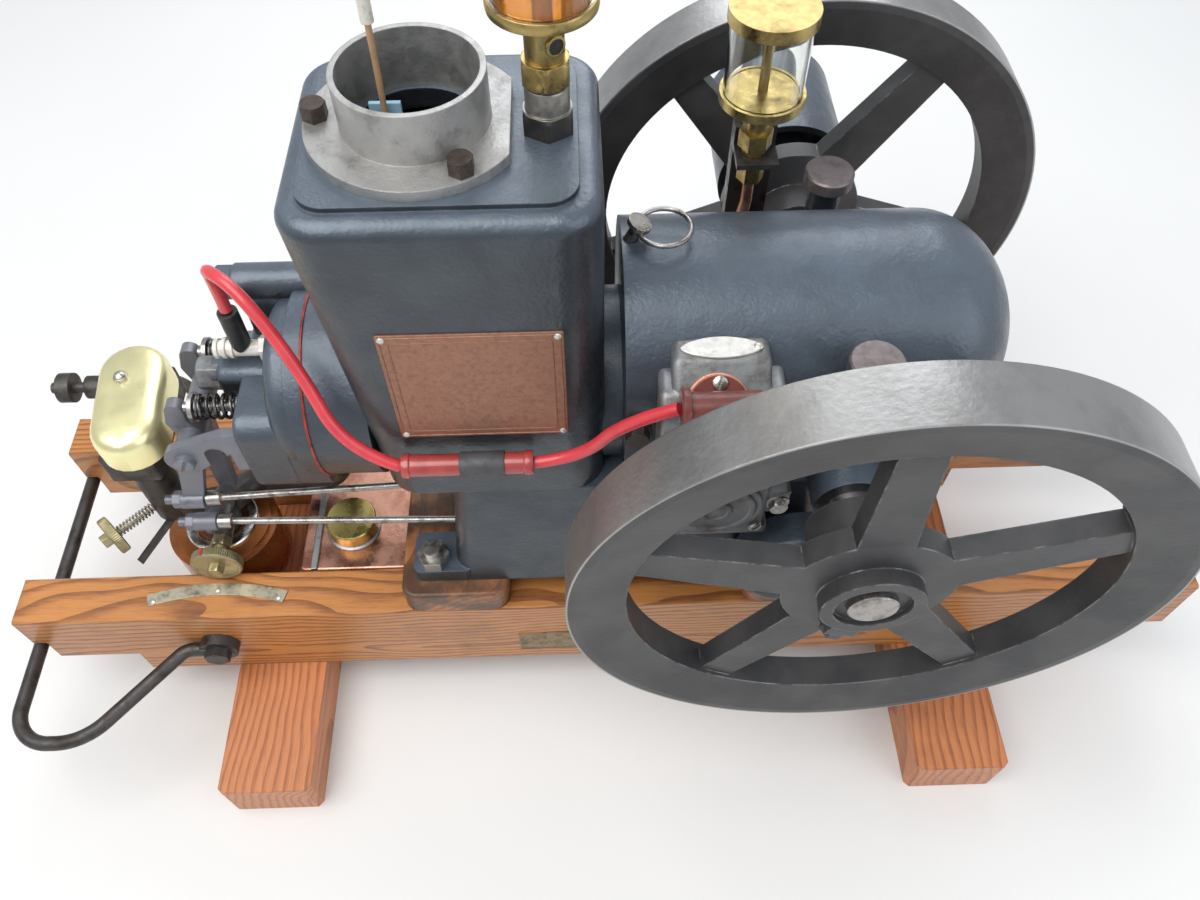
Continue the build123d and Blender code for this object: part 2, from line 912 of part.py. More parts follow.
# Cylinder block: tapered hopper, barrel flange, neck and exhaust boss, hollow for the water
hopper_floor = bed_top + hopper_floor_rise
with BuildPart() as block:
    for height, left in ((bed_top, block_bottom_left), (block_top, block_top_left)):
        with BuildSketch(Plane.XY.offset(height)):
            with Locations(((left + block_right) / 2, 0)):
                RectangleRounded(block_right - left, 2 * block_half_width, block_corner_radius)
    loft()
    fillet(block.edges().group_by(Axis.Z)[-1], block_top_round)
    pad_left = block_top_left + pad_inset
    pad_right = block_right - pad_inset
    with BuildSketch(Plane.XY.offset(block_top)):
        with Locations(((pad_left + pad_right) / 2, 0)):
            pad_width = 2 * (block_half_width - pad_inset)
            RectangleRounded(pad_right - pad_left, pad_width, block_corner_radius - pad_inset + 4)
    extrude(amount=pad_height)
    flange_start = (barrel_flange_left, 0, crank_z)
    flange_length = barrel_flange_right - barrel_flange_left
    add(cylinder_along(flange_start, (1, 0, 0), barrel_flange_radius, flange_length))
    boss_start = (port_boss_left, exhaust_y, crank_z + exhaust_rise)
    port_boss_length = block_bottom_left - port_boss_left
    add(cylinder_along(boss_start, (1, 0, 0), port_boss_radius, port_boss_length))
    with BuildSketch(Plane.YZ.offset(case_left)):
        with Locations((0, crank_z)):
            Circle(neck_radius)
        with Locations((0, bed_top - neck_radius)):
            Rectangle(2 * neck_radius, 2 * neck_radius, mode=Mode.SUBTRACT)
    extrude(amount=block_right - case_left - neck_radius / 2)
    with BuildSketch(Plane.XY.offset(hopper_floor)):
        with Locations(((block_bottom_left + block_right - hopper_wall) / 2, 0)):
            RectangleRounded(
                block_right - hopper_wall - block_bottom_left,
                2 * (block_half_width - hopper_wall),
                block_corner_radius - hopper_wall,
            )
    extrude(amount=block_top - hopper_wall - hopper_floor, mode=Mode.SUBTRACT)
    mouth_start = (collar_x, 0, block_top - hopper_wall - 1)
    mouth = cylinder_along(mouth_start, (0, 0, 1), hopper_mouth_radius, hopper_wall + pad_height + 2)
    add(mouth, mode=Mode.SUBTRACT)
save(block, "cylinder_block")

# Filling collar, with one side of its flange cut flat
collar_bore = collar_radius - collar_wall
with BuildPart() as collar:
    with BuildSketch(Plane.XY.offset(deck)):
        with Locations((collar_x, 0)):
            Circle(collar_flange_radius)
            with Locations((collar_flange_flat + collar_flange_radius, 0)):
                flat_size = 2 * collar_flange_radius
                Rectangle(flat_size, flat_size, mode=Mode.SUBTRACT)
    extrude(amount=collar_flange_thickness)
    tube_start = (collar_x, 0, deck)
    tube_height = collar_flange_thickness + collar_height
    add(cylinder_along(tube_start, (0, 0, 1), collar_radius, tube_height))
    bore_start = (collar_x, 0, deck - 1)
    collar_hole = cylinder_along(bore_start, (0, 0, 1), collar_bore, tube_height + 2)
    add(collar_hole, mode=Mode.SUBTRACT)
save(collar, "hopper_collar")

# Gauge rod with its thicker top, and the clip on the hopper's mouth
gauge_foot = Vector(gauge_x - gauge_lean / 2, gauge_y, deck - gauge_depth)
gauge_line = Vector(gauge_lean, 0, gauge_rod_length).normalized()
with BuildPart() as gauge:
    add(cylinder_along(gauge_foot, gauge_line, gauge_radius, gauge_rod_length))
    gauge_joint = gauge_foot + gauge_line * gauge_rod_length
    add(cylinder_along(gauge_joint, gauge_line, gauge_top_radius, gauge_top_length))
save(gauge, "gauge_rod")
with BuildPart() as clip:
    with BuildSketch(Plane.XY.offset(deck)):
        with Locations((gauge_x, (gauge_y - clip_reach) / 2 + clip_thickness)):
            Rectangle(clip_width, clip_reach - gauge_y + 2 * clip_thickness)
        with Locations((collar_x, 0)):
            Circle(collar_bore - rod_hole_gap, mode=Mode.INTERSECT)
    extrude(amount=clip_thickness)
    upright_y = gauge_y + gauge_radius + rod_hole_gap + clip_thickness
    with BuildSketch(Plane.XY.offset(deck)):
        with Locations((gauge_x, upright_y)):
            Rectangle(clip_width, clip_thickness)
    extrude(amount=clip_height)
    rod_hole = cylinder_along(gauge_foot, gauge_line, gauge_radius + rod_hole_gap, gauge_rod_length)
    add(rod_hole, mode=Mode.SUBTRACT)
save(clip, "gauge_clip")

# Cylinder head
with BuildPart() as head:
    head_start = (barrel_flange_left, 0, crank_z)
    add(cylinder_along(head_start, (-1, 0, 0), head_radius, barrel_flange_left - head_front))
    fillet(head.edges().group_by(Axis.X)[0], head_round)
    add(cylinder_along(head_start, (-1, 0, 0), head_band_radius, head_band))
    chest_mid_y = (chest_near_y + chest_far_y) / 2
    chest_mid_z = crank_z + (chest_bottom_rise + chest_top_rise) / 2
    chest_height = chest_top_rise - chest_bottom_rise
    with BuildSketch(Plane.YZ.offset(chest_front)):
        with Locations((chest_mid_y, chest_mid_z)):
            RectangleRounded(chest_far_y - chest_near_y, chest_height, chest_corner)
    extrude(amount=(barrel_flange_left - head_band + chest_front) / 2 - chest_front + head_round)
    fillet(head.edges().group_by(Axis.X)[0], chest_round)
    boss_end = (head_boss_front, head_boss_y, crank_z + head_boss_rise)
    boss_length = head_front - head_boss_front + 1
    add(cylinder_along(boss_end, (1, 0, 0), head_boss_radius, boss_length))
    add(hexagon_along(boss_end, (-1, 0, 0), head_plug_radius, head_plug_length))
    for side in (-1, 1):
        guide_start = (chest_front - chest_round, side * valve_y, valve_z)
        guide_radius = valve_stem_radius + valve_clearance
        guide = cylinder_along(guide_start, (1, 0, 0), guide_radius, valve_hole_depth + chest_round)
        add(guide, mode=Mode.SUBTRACT)
save(head, "cylinder_head")

# Exhaust stub from the boss on the block
with BuildPart() as exhaust:
    exhaust_start = (exhaust_left, exhaust_y, crank_z + exhaust_rise)
    add(cylinder_along(exhaust_start, (1, 0, 0), exhaust_radius, port_boss_left - exhaust_left))
    mouth = cylinder_along(exhaust_start, (1, 0, 0), exhaust_bore, exhaust_bore_depth)
    add(mouth, mode=Mode.SUBTRACT)
save(exhaust, "exhaust_stub")

# Spark plug: hexagon, ribbed insulator
plug_z = crank_z + plug_rise
plug_rib_radius = plug_body_radius + plug_rib
with BuildPart() as plug:
    plug_start = (head_front, plug_y, plug_z)
    add(hexagon_along(plug_start, (-1, 0, 0), plug_hex_radius, plug_hex_length))
    add(cylinder_along(plug_start, (-1, 0, 0), plug_body_radius, head_front - plug_tip_x))
    for step in range(plug_rib_count):
        rib_x = plug_tip_x + plug_rib_pitch * step
        add(cylinder_along((rib_x, plug_y, plug_z), (1, 0, 0), plug_rib_radius, plug_rib_pitch / 2))
save(plug, "spark_plug")

# Boot standing on the insulator
with BuildPart() as boot:
    boot_base = (boot_x, plug_y, plug_z)
    add(cylinder_along(boot_base, (0, 0, 1), boot_radius, boot_rise - plug_rise))
    boot_seat = plug_rib_radius + boot_gap
    seat_cut = cylinder_along((head_front, plug_y, plug_z), (-1, 0, 0), boot_seat, -plug_tip_x)
    add(seat_cut, mode=Mode.SUBTRACT)
    fillet(boot.edges().group_by(Axis.Z)[-1], 1)
save(boot, "plug_boot")

# Rocker bracket: two notched ears on the valve chest and the pin between them
pin_near_y = near_ear_y - ear_thickness / 2
pin_far_y = far_ear_y + ear_thickness / 2
with BuildPart() as bracket:
    for ear_middle_y in (near_ear_y, far_ear_y):
        with BuildSketch(Plane.XZ.offset(-ear_middle_y)):
            with Locations((rocker_pin_x, rocker_pin_z)):
                Circle(ear_radius)
            shoulder_z = rocker_pin_z + bracket_foot_top - bracket_shoulder_radius
            with Locations((chest_front - bracket_shoulder_radius, shoulder_z)):
                Circle(bracket_shoulder_radius)
            make_hull()
            foot_x = chest_front - bracket_foot_width / 2
            foot_z = rocker_pin_z + (bracket_foot_top + bracket_foot_bottom) / 2
            with Locations((foot_x, foot_z)):
                Rectangle(bracket_foot_width, bracket_foot_top - bracket_foot_bottom)
            notch_z = rocker_pin_z + bracket_notch_rise
            with Locations((bracket_notch_x, notch_z)):
                Circle(bracket_notch_width / 2, mode=Mode.SUBTRACT)
            with Locations((bracket_notch_x, notch_z - 2 * ear_radius)):
                Rectangle(bracket_notch_width, 4 * ear_radius, mode=Mode.SUBTRACT)
        extrude(amount=ear_thickness / 2, both=True)
    pin_start = (rocker_pin_x, pin_near_y, rocker_pin_z)
    add(cylinder_along(pin_start, (0, 1, 0), rocker_pin_radius, pin_far_y - pin_near_y))
    add(cylinder_along(pin_start, (0, -1, 0), pin_head_radius, pin_head_height))
save(bracket, "rocker_bracket")

# Rockers: hub on the pin, bowed upper arm to the valve, lower arm to the pushrod
tip_x = valve_stem_end - rocker_tip_gap - rocker_tip_radius
pin_spot = (rocker_pin_x, rocker_pin_z)
bow_spot = (rocker_pin_x + rocker_bow_x, rocker_pin_z + rocker_bow_z)
near_hub_start = near_ear_y + ear_thickness / 2 + rocker_side_gap
far_hub_start = rocker_hub_split + rocker_side_gap
far_hub_end = far_ear_y - ear_thickness / 2 - rocker_side_gap
upper_z = crank_z + upper_rod_rise
lower_z = crank_z + lower_rod_rise
for node, hub_start, hub_end, arm_y, barrel in (
    ("near_rocker", near_hub_start, rocker_hub_split, -valve_y, "upper"),
    ("far_rocker", far_hub_start, far_hub_end, valve_y, "lower"),
):
    if barrel == "upper":
        barrel_spot = (upper_barrel_x, upper_rod_near_y, upper_z)
        low_arm_y = near_hub_start + rocker_thickness / 2
        low_arm_end = (upper_barrel_x, upper_z)
        low_arm_radius = barrel_radius
    else:
        barrel_spot = (lower_barrel_x, lower_rod_near_y, lower_z)
        low_arm_y = lower_arm_y
        low_arm_end = (lower_arm_x, lower_z)
        low_arm_radius = lower_arm_end_radius
    with BuildPart() as rocker:
        hub_point = (rocker_pin_x, hub_start, rocker_pin_z)
        add(cylinder_along(hub_point, (0, 1, 0), rocker_hub_radius, hub_end - hub_start))
        for first, first_radius, second, second_radius, middle_y in (
            (pin_spot, rocker_hub_radius, bow_spot, rocker_bow_radius, arm_y),
            (bow_spot, rocker_bow_radius, (tip_x, valve_z), rocker_tip_radius, arm_y),
            (pin_spot, rocker_hub_radius, low_arm_end, low_arm_radius, low_arm_y),
        ):
            arm = arm_between(
                first, first_radius, second, second_radius, middle_y, rocker_thickness
            )
            add(arm)
        if barrel == "lower":
            cross_start = Vector(lower_arm_x, lower_arm_y, lower_z)
            cross_run = Vector(*barrel_spot) - cross_start
            add(cylinder_along(cross_start, cross_run, lower_cross_radius, cross_run.length))
        barrel_near = (barrel_spot[0] + barrel_length / 2, barrel_spot[1], barrel_spot[2])
        barrel_far = (barrel_spot[0] - barrel_length / 2, barrel_spot[1], barrel_spot[2])
        add(cylinder_along(barrel_far, (1, 0, 0), barrel_radius, barrel_length))
        add(hexagon_along(barrel_far, (-1, 0, 0), lock_nut_radius, lock_nut_length))
        stub_length = lock_nut_length + screw_stub
        add(cylinder_along(barrel_far, (-1, 0, 0), screw_radius, stub_length))
        bore_start = (rocker_pin_x, near_ear_y, rocker_pin_z)
        pin_bore_radius = rocker_pin_radius + rocker_bore_gap
        pin_bore = cylinder_along(bore_start, (0, 1, 0), pin_bore_radius, far_ear_y - near_ear_y)
        add(pin_bore, mode=Mode.SUBTRACT)
    save(rocker, node)

# Valves with their spring retainers
for side, node in ((-1, "near_valve"), (1, "far_valve")):
    with BuildPart() as valve:
        stem_start = (valve_stem_end, side * valve_y, valve_z)
        stem_length = chest_front + valve_stem_depth - valve_stem_end
        add(cylinder_along(stem_start, (1, 0, 0), valve_stem_radius, stem_length))
        retainer_start = (retainer_x, side * valve_y, valve_z)
        add(cylinder_along(retainer_start, (-1, 0, 0), retainer_radius, retainer_thickness))
    save(valve, node)

# Valve springs between the chest and the retainers
coil_start = chest_front - seat_gap - spring_wire
coil_length = coil_start - retainer_x - seat_gap - spring_wire
for side, node in ((-1, "near_spring"), (1, "far_spring")):
    with BuildPart() as spring:
        coil = Helix(
            pitch=coil_length / spring_turns,
            height=coil_length,
            radius=spring_radius - spring_wire,
            center=(coil_start, side * valve_y, valve_z),
            direction=(-1, 0, 0),
        )
        with BuildSketch(Plane(origin=coil @ 0, z_dir=coil % 0)):
            Circle(spring_wire)
        sweep(path=coil, is_frenet=True)
    save(spring, node)

# Pushrods, each ending in a collar just clear of its rocker's barrel
for name, (near, run) in rod_runs.items():
    with BuildPart() as rod:
        rod_start = near + run.normalized() * (barrel_length / 2 + rod_gap)
        rod_length = run.length - barrel_length / 2 - rod_gap
        add(cylinder_along(rod_start, run, rod_collar_radius, rod_collar_length))
        add(cylinder_along(rod_start, run, rod_radius, rod_length))
    save(rod, name + "_pushrod")
    print(name, "pushrod axis", run.normalized())

# Brass cover, an oblong cap with a rounded top edge and a nut
with BuildPart() as brass_cover:
    with BuildSketch(Plane.XY.offset(cover_top_z - cover_height)):
        with Locations((carb_x, 0)):
            SlotOverall(cover_length, cover_width, rotation=90 + carb_turn)
    extrude(amount=cover_height)
    fillet(brass_cover.edges().group_by(Axis.Z)[-1], cover_round)
    add(hexagon_along((carb_x, 0, cover_top_z), (0, 0, 1), cover_nut_radius, cover_nut_height))
save(brass_cover, "brass_cover")

# Carburettor body: block, column, elbow, mixing chamber, intake pipe and thumb screw
cover_base = cover_top_z - cover_height
chamber_base = bowl_top_z + bowl_lid_height
side_needle_turn = radians(side_needle_angle)
needle_way = Vector(cos(side_needle_turn), sin(side_needle_turn), 0)
needle_root = Vector(column_x, column_y, side_needle_z)
with BuildPart() as carburettor:
    with BuildSketch(Plane.XY.offset(cover_base - carb_block_drop)):
        carb_block_y = (carb_block_near_y + carb_block_far_y) / 2
        with Locations((carb_block_left + carb_block_width / 2, carb_block_y)):
            RectangleRounded(carb_block_width, carb_block_far_y - carb_block_near_y, 3)
    extrude(amount=carb_block_drop)
    column_top = (column_x, column_y, cover_base - carb_block_drop + 1)
    elbow_high = Vector(column_x, column_y, elbow_high_z)
    elbow_low = Vector(chamber_x, chamber_y, elbow_low_z)
    column_length = column_top[2] - side_needle_z + column_radius
    add(cylinder_along(column_top, (0, 0, -1), column_radius, column_length))
    elbow_run = elbow_low - elbow_high
    add(cylinder_along(elbow_high, elbow_run, elbow_radius, elbow_run.length))
    chamber_start = (chamber_x, chamber_y, chamber_base)
    chamber_height = chamber_top_z - chamber_base
    add(cylinder_along(chamber_start, (0, 0, 1), chamber_radius, chamber_height))
    with BuildLine() as intake_line:
        FilletPolyline(
            (chamber_x, chamber_y, intake_z),
            (intake_first_x, intake_y, intake_z),
            (intake_x, intake_y, intake_z),
            (intake_x, intake_y, crank_z + chest_bottom_rise - boot_gap),
            radius=intake_bend,
        )
    with BuildSketch(Plane(origin=intake_line.line @ 0, z_dir=intake_line.line % 0)):
        Circle(intake_radius)
    sweep(path=intake_line.line)
    head_cut_start = (barrel_flange_left, 0, crank_z)
    head_cut_length = barrel_flange_left - head_front + 2 * intake_radius
    head_cut = cylinder_along(
        head_cut_start, (-1, 0, 0), head_radius + boot_gap, head_cut_length
    )
    add(head_cut, mode=Mode.SUBTRACT)
    thumb_start = (thumb_end_x, thumb_y, thumb_z)
    thumb_shaft_length = carb_block_left - thumb_end_x
    add(cylinder_along(thumb_start, (1, 0, 0), thumb_shaft_radius, thumb_shaft_length))
    thumb_collar_start = (thumb_collar_x, thumb_y, thumb_z)
    thumb_collar_length = carb_block_left - thumb_collar_x
    add(cylinder_along(thumb_collar_start, (1, 0, 0), thumb_collar_radius, thumb_collar_length))
    thumb_knob_start = (thumb_knob_x, thumb_y, thumb_z)
    add(cylinder_along(thumb_knob_start, (1, 0, 0), thumb_knob_radius, thumb_knob_length))
    gland_start = (front_knob_x, chamber_y, front_knob_z)
    gland_length = chamber_y - front_gland_y
    add(cylinder_along(gland_start, (0, -1, 0), front_gland_radius, gland_length))
    needle_hole_radius = needle_radius + needle_clearance
    front_hole_start = (front_knob_x, front_knob_y, front_knob_z)
    front_hole_length = chamber_y - front_knob_y
    front_hole = cylinder_along(front_hole_start, (0, 1, 0), needle_hole_radius, front_hole_length)
    add(front_hole, mode=Mode.SUBTRACT)
    side_hole = cylinder_along(needle_root, needle_way, needle_hole_radius, 2 * column_radius)
    add(side_hole, mode=Mode.SUBTRACT)
save(carburettor, "carburettor_body")

# Needle valves: stem, spring, knurled knob and end nut
needle_face = column_radius + side_needle_start
with BuildPart() as side_needle:
    stem_start = needle_root + needle_way * needle_clearance
    knob_distance = column_radius + side_spring_length
    stem_length = knob_distance + side_knob_thickness
    add(cylinder_along(stem_start, needle_way, needle_radius, stem_length))
    spring_start = needle_root + needle_way * (column_radius + seat_gap)
    add(cylinder_along(spring_start, needle_way, side_spring_radius, side_spring_length))
    knob_start = needle_root + needle_way * knob_distance
    add(cylinder_along(knob_start, needle_way, side_knob_radius, side_knob_thickness))
    nut_start = knob_start + needle_way * side_knob_thickness
    add(hexagon_along(nut_start, needle_way, needle_nut_radius, needle_nut_length))
save(side_needle, "side_needle")
with BuildPart() as front_needle:
    knob_start = (front_knob_x, front_knob_y, front_knob_z)
    add(cylinder_along(knob_start, (0, -1, 0), front_knob_radius, front_knob_thickness))
    add(cylinder_along(knob_start, (0, 1, 0), needle_radius, front_hole_length - needle_clearance))
    nut_start = (front_knob_x, front_knob_y - front_knob_thickness, front_knob_z)
    add(hexagon_along(nut_start, (0, -1, 0), needle_nut_radius + 2, needle_nut_length))
save(front_needle, "front_needle")

# Fuel bowl with a raised lid
with BuildPart() as bowl:
    bowl_start = (chamber_x, chamber_y, bowl_bottom_z)
    add(cylinder_along(bowl_start, (0, 0, 1), bowl_radius, bowl_top_z - bowl_bottom_z))
    fillet(bowl.edges().group_by(Axis.Z)[0], bowl_round)
    lid_start = (chamber_x, chamber_y, bowl_top_z)
    add(cylinder_along(lid_start, (0, 0, 1), bowl_lid_radius, bowl_lid_height))
save(bowl, "fuel_bowl")

# Fuel tank with a seam, a neck and the strap it stands on
with BuildPart() as tank:
    tank_middle_x = (tank_left + tank_right) / 2
    with BuildSketch(Plane.XY.offset(timber_height)):
        with Locations((tank_middle_x, 0)):
            RectangleRounded(tank_right - tank_left, 2 * tank_half_width, tank_corner)
    extrude(amount=tank_top_z - timber_height)
    fillet(tank.edges().group_by(Axis.Z)[-1], tank_corner / 2)
    with BuildSketch(Plane.XY.offset(tank_top_z)):
        with Locations((tank_seam_x, 0)):
            Rectangle(tank_seam_width, 2 * tank_half_width - 2 * tank_corner)
    extrude(amount=tank_seam_height)
    tank_neck_start = (tank_cap_x, tank_cap_y, tank_top_z)
    add(cylinder_along(tank_neck_start, (0, 0, 1), tank_neck_radius, tank_neck_height))
    with BuildSketch(Plane.XY.offset(timber_height)):
        with Locations((tank_middle_x, 0)):
            Rectangle(strap_width, 2 * strap_half_length)
    extrude(amount=-strap_thickness)
save(tank, "fuel_tank")
with BuildPart() as tank_cap:
    cap_start = (tank_cap_x, tank_cap_y, tank_top_z + tank_neck_height)
    add(cylinder_along(cap_start, (0, 0, 1), tank_cap_radius, tank_cap_height))
    chamfer(tank_cap.edges().group_by(Axis.Z)[-1], 1)
save(tank_cap, "fuel_cap")

# Magneto against the crankcase's side, under a sloping brow
magneto_top = crank_z + magneto_top_rise
magneto_bottom = crank_z + magneto_bottom_rise
magneto_back = case_radius + magneto_gap
with BuildPart() as magneto:
    with BuildSketch(Plane.YZ.offset(magneto_left)):
        with BuildLine():
            Polyline(
                (-magneto_top_y, magneto_top),
                (-magneto_brow_y, magneto_top),
                (-magneto_front_y, magneto_top - magneto_brow_drop),
                (-magneto_front_y, magneto_bottom),
                (-magneto_back, magneto_bottom),
                (-magneto_back, barrel_z),
                (-magneto_top_y, barrel_z),
                close=True,
            )
        make_face()
        with Locations((0, barrel_z)):
            Circle(magneto_back, mode=Mode.SUBTRACT)
    extrude(amount=magneto_right - magneto_left)
    chamfer(magneto.edges().filter_by(Axis.Z).group_by(Axis.Y)[0], magneto_edge)
    lug_height = magneto_lug_height
    lug_z = crank_z + magneto_lug_rise + lug_height / 2
    with BuildSketch(Plane.YZ.offset(magneto_right)):
        with Locations((-(magneto_back + magneto_lug_near_y) / 2, lug_z)):
            Rectangle(magneto_lug_near_y - magneto_back, lug_height)
    extrude(amount=magneto_lug_reach)
    lid_start = (magneto_cover_x, -magneto_front_y, crank_z + magneto_cover_rise)
    add(cylinder_along(lid_start, (0, -1, 0), magneto_cover_radius, magneto_cover_length))
save(magneto, "magneto")

# Bakelite terminal on the magneto's sloping brow, with a socket for the lead
brow_run = Vector(0, magneto_brow_y - magneto_front_y, -magneto_brow_drop)
brow_edge = Vector(0, -magneto_brow_y, magneto_top)
brow_normal = Vector(0, -magneto_brow_drop, magneto_front_y - magneto_brow_y).normalized()
terminal_x = (terminal_left + terminal_right) / 2
terminal_spot = Vector(terminal_x, terminal_y, crank_z + terminal_rise)
brow_distance = (terminal_spot - brow_edge).dot(brow_normal)
terminal_foot = terminal_spot - brow_normal * brow_distance
with BuildPart() as terminal:
    add(cylinder_along(terminal_foot, brow_normal, terminal_flange_radius, terminal_flange))
    add(cylinder_along(terminal_foot, brow_normal, terminal_foot_radius, brow_distance))
    tube_start = (terminal_left, terminal_y, terminal_spot.Z)
    terminal_length = terminal_right - terminal_left
    add(cylinder_along(tube_start, (1, 0, 0), terminal_radius, terminal_length))
    add(cylinder_along(tube_start, (1, 0, 0), terminal_ring_radius, terminal_ring))
    socket = cylinder_along(tube_start, (1, 0, 0), socket_radius, socket_depth)
    add(socket, mode=Mode.SUBTRACT)
save(terminal, "magneto_terminal")

# Cam gear case with its small knob
with BuildPart() as cam_case:
    cam_start = (cam_case_x, -cam_case_seat_y, cam_case_z)
    cam_depth = cam_case_front_y - cam_case_seat_y
    add(cylinder_along(cam_start, (0, -1, 0), cam_case_radius, cam_depth))
    fillet(cam_case.edges().group_by(Axis.Y)[0], cam_case_round)
    knob_start = (cam_case_x, cam_knob_y, cam_case_z + cam_knob_rise)
    knob_length = cam_case_radius + cam_knob_length - 2
    add(cylinder_along(knob_start, (-1, 0, 0), cam_knob_radius, knob_length))
save(cam_case, "cam_case")

# Oilers: a stack of turned and hexagonal steps, a tray, a glass and a cap
oiler_foots = {
    "hopper_oiler": (Vector(hopper_oiler_x, hopper_oiler_y, deck), hopper_oiler_steps),
    "bearing_oiler": (
        Vector(bearing_oiler_x, bearing_oiler_y, bearing_oiler_z),
        bearing_oiler_steps,
    ),
}
for node, (foot, steps) in oiler_foots.items():
    with BuildPart() as oiler:
        level = foot.Z
        for step, (radius, rise) in enumerate(steps):
            step_start = (foot.X, foot.Y, level)
            if step % oiler_hex_step == 0:
                add(hexagon_along(step_start, (0, 0, 1), radius, rise))
            else:
                add(cylinder_along(step_start, (0, 0, 1), radius, rise))
            level += rise
        tray_start = (foot.X, foot.Y, level)
        add(cylinder_along(tray_start, (0, 0, 1), oiler_radius, oiler_tray_height))
        glass_z = level + oiler_tray_height
        tube_start = (foot.X, foot.Y, glass_z)
        add(cylinder_along(tube_start, (0, 0, 1), oiler_tube_radius, oiler_glass_height))
        cap_start = (foot.X, foot.Y, glass_z + oiler_glass_height)
        add(cylinder_along(cap_start, (0, 0, 1), oiler_radius, oiler_cap_height))
    save(oiler, node)
    with BuildPart() as glass:
        with BuildSketch(Plane.XY.offset(glass_z)):
            with Locations((foot.X, foot.Y)):
                Circle(oiler_glass_radius)
                Circle(oiler_glass_radius - oiler_glass_wall, mode=Mode.SUBTRACT)
        extrude(amount=oiler_glass_height)
    save(glass, node + "_glass")

# Oil pipe from the bearing oiler into the crankcase cover
with BuildPart() as oil_pipe:
    with BuildLine() as pipe_line:
        FilletPolyline(
            (bearing_oiler_x, bearing_oiler_y, bearing_oiler_z),
            (bearing_oiler_x, bearing_oiler_y, pipe_bend_z),
            (pipe_lean_x, pipe_lean_y, pipe_low_z),
            (pipe_lean_x, case_radius, pipe_low_z),
            radius=pipe_bend_radius / 2,
        )
    with BuildSketch(Plane(origin=pipe_line.line @ 0, z_dir=pipe_line.line % 0)):
        Circle(pipe_radius)
    sweep(path=pipe_line.line)
save(oil_pipe, "oil_pipe")

# Channel post on the far rail, with the shelf that steadies the oiler
with BuildPart() as post:
    with BuildSketch(Plane.XY.offset(post_bottom_z)):
        with Locations((post_x, post_y + post_depth / 2)):
            Rectangle(post_width, post_depth)
        with Locations((post_x, post_y + post_depth / 2 + post_wall)):
            Rectangle(post_width - 2 * post_wall, post_depth, mode=Mode.SUBTRACT)
    extrude(amount=post_top_z - post_bottom_z)
    with BuildSketch(Plane.XY.offset(post_shelf_z)):
        with Locations((post_x, post_y + post_wall - post_shelf_reach / 2)):
            Rectangle(post_width, post_shelf_reach)
    extrude(amount=post_shelf_thickness)
    level = bearing_oiler_z
    for radius, rise in bearing_oiler_steps:
        step_start = (bearing_oiler_x, bearing_oiler_y, level)
        step_room = cylinder_along(step_start, (0, 0, 1), radius + oiler_seat, rise)
        add(step_room, mode=Mode.SUBTRACT)
        level += rise
save(post, "oiler_post")

# Ignition lead in two parts, with the sleeve between them
boot_top = Vector(boot_x, plug_y, crank_z + boot_rise + boot_lead_gap)
sleeve_start = Vector(sleeve_left, sleeve_y, sleeve_z)
sleeve_length = sleeve_right - sleeve_left
with BuildPart() as sleeve:
    add(cylinder_along(sleeve_start, (1, 0, 0), sleeve_radius, sleeve_length))
    band_start = sleeve_start + Vector((sleeve_length - sleeve_band_length) / 2, 0, 0)
    add(cylinder_along(band_start, (1, 0, 0), sleeve_band_radius, sleeve_band_length))
save(sleeve, "lead_sleeve")
sleeve_left_end = sleeve_start - Vector(sleeve_left_gap, 0, 0)
sleeve_right_end = sleeve_start + Vector(sleeve_length + sleeve_right_gap, 0, 0)
terminal_end = Vector(terminal_left - terminal_lead_gap, terminal_y, terminal_spot.Z)
plug_lead = cord_tube([boot_top, *plug_lead_middle, sleeve_left_end], "plug lead")
save(plug_lead, "plug_lead")
magneto_lead = cord_tube([sleeve_right_end, *magneto_lead_middle, terminal_end], "magneto lead")
save(magneto_lead, "magneto_lead")
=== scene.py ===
import json
import math
import bmesh
import bpy
import numpy as np
from mathutils import Matrix, Vector


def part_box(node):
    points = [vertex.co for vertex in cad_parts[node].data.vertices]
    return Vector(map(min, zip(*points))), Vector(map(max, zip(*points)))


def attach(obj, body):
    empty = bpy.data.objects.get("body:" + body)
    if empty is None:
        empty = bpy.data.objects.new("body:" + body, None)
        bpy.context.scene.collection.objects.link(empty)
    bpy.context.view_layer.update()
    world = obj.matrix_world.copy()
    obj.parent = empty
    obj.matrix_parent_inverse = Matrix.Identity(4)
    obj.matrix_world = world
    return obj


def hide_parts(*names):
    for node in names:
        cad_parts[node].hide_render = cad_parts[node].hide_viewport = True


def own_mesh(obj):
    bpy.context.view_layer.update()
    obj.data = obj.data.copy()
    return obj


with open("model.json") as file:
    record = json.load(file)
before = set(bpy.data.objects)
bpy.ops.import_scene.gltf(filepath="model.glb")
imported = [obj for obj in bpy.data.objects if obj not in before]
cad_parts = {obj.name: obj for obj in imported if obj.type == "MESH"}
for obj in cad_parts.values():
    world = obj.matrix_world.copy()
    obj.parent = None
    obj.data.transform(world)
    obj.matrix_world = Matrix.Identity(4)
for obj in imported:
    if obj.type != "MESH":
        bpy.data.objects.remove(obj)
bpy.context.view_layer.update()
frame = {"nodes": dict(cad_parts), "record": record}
nodes = frame["nodes"]
print("frame loaded:", len(nodes), "nodes")

# The skid's middle on the ground: every place below is counted from it, in millimetres
railLow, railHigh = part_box("front_rail")
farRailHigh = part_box("rear_rail")[1]
skidX = (railLow.x + railHigh.x) / 2
skidY = (railLow.y + farRailHigh.y) / 2
skidMiddle = np.array([skidX, skidY, 0.0])
toLeft, toRight = (-1, 0, 0), (1, 0, 0)
toFront, toBack = (0, -1, 0), (0, 1, 0)
toTop = (0, 0, 1)


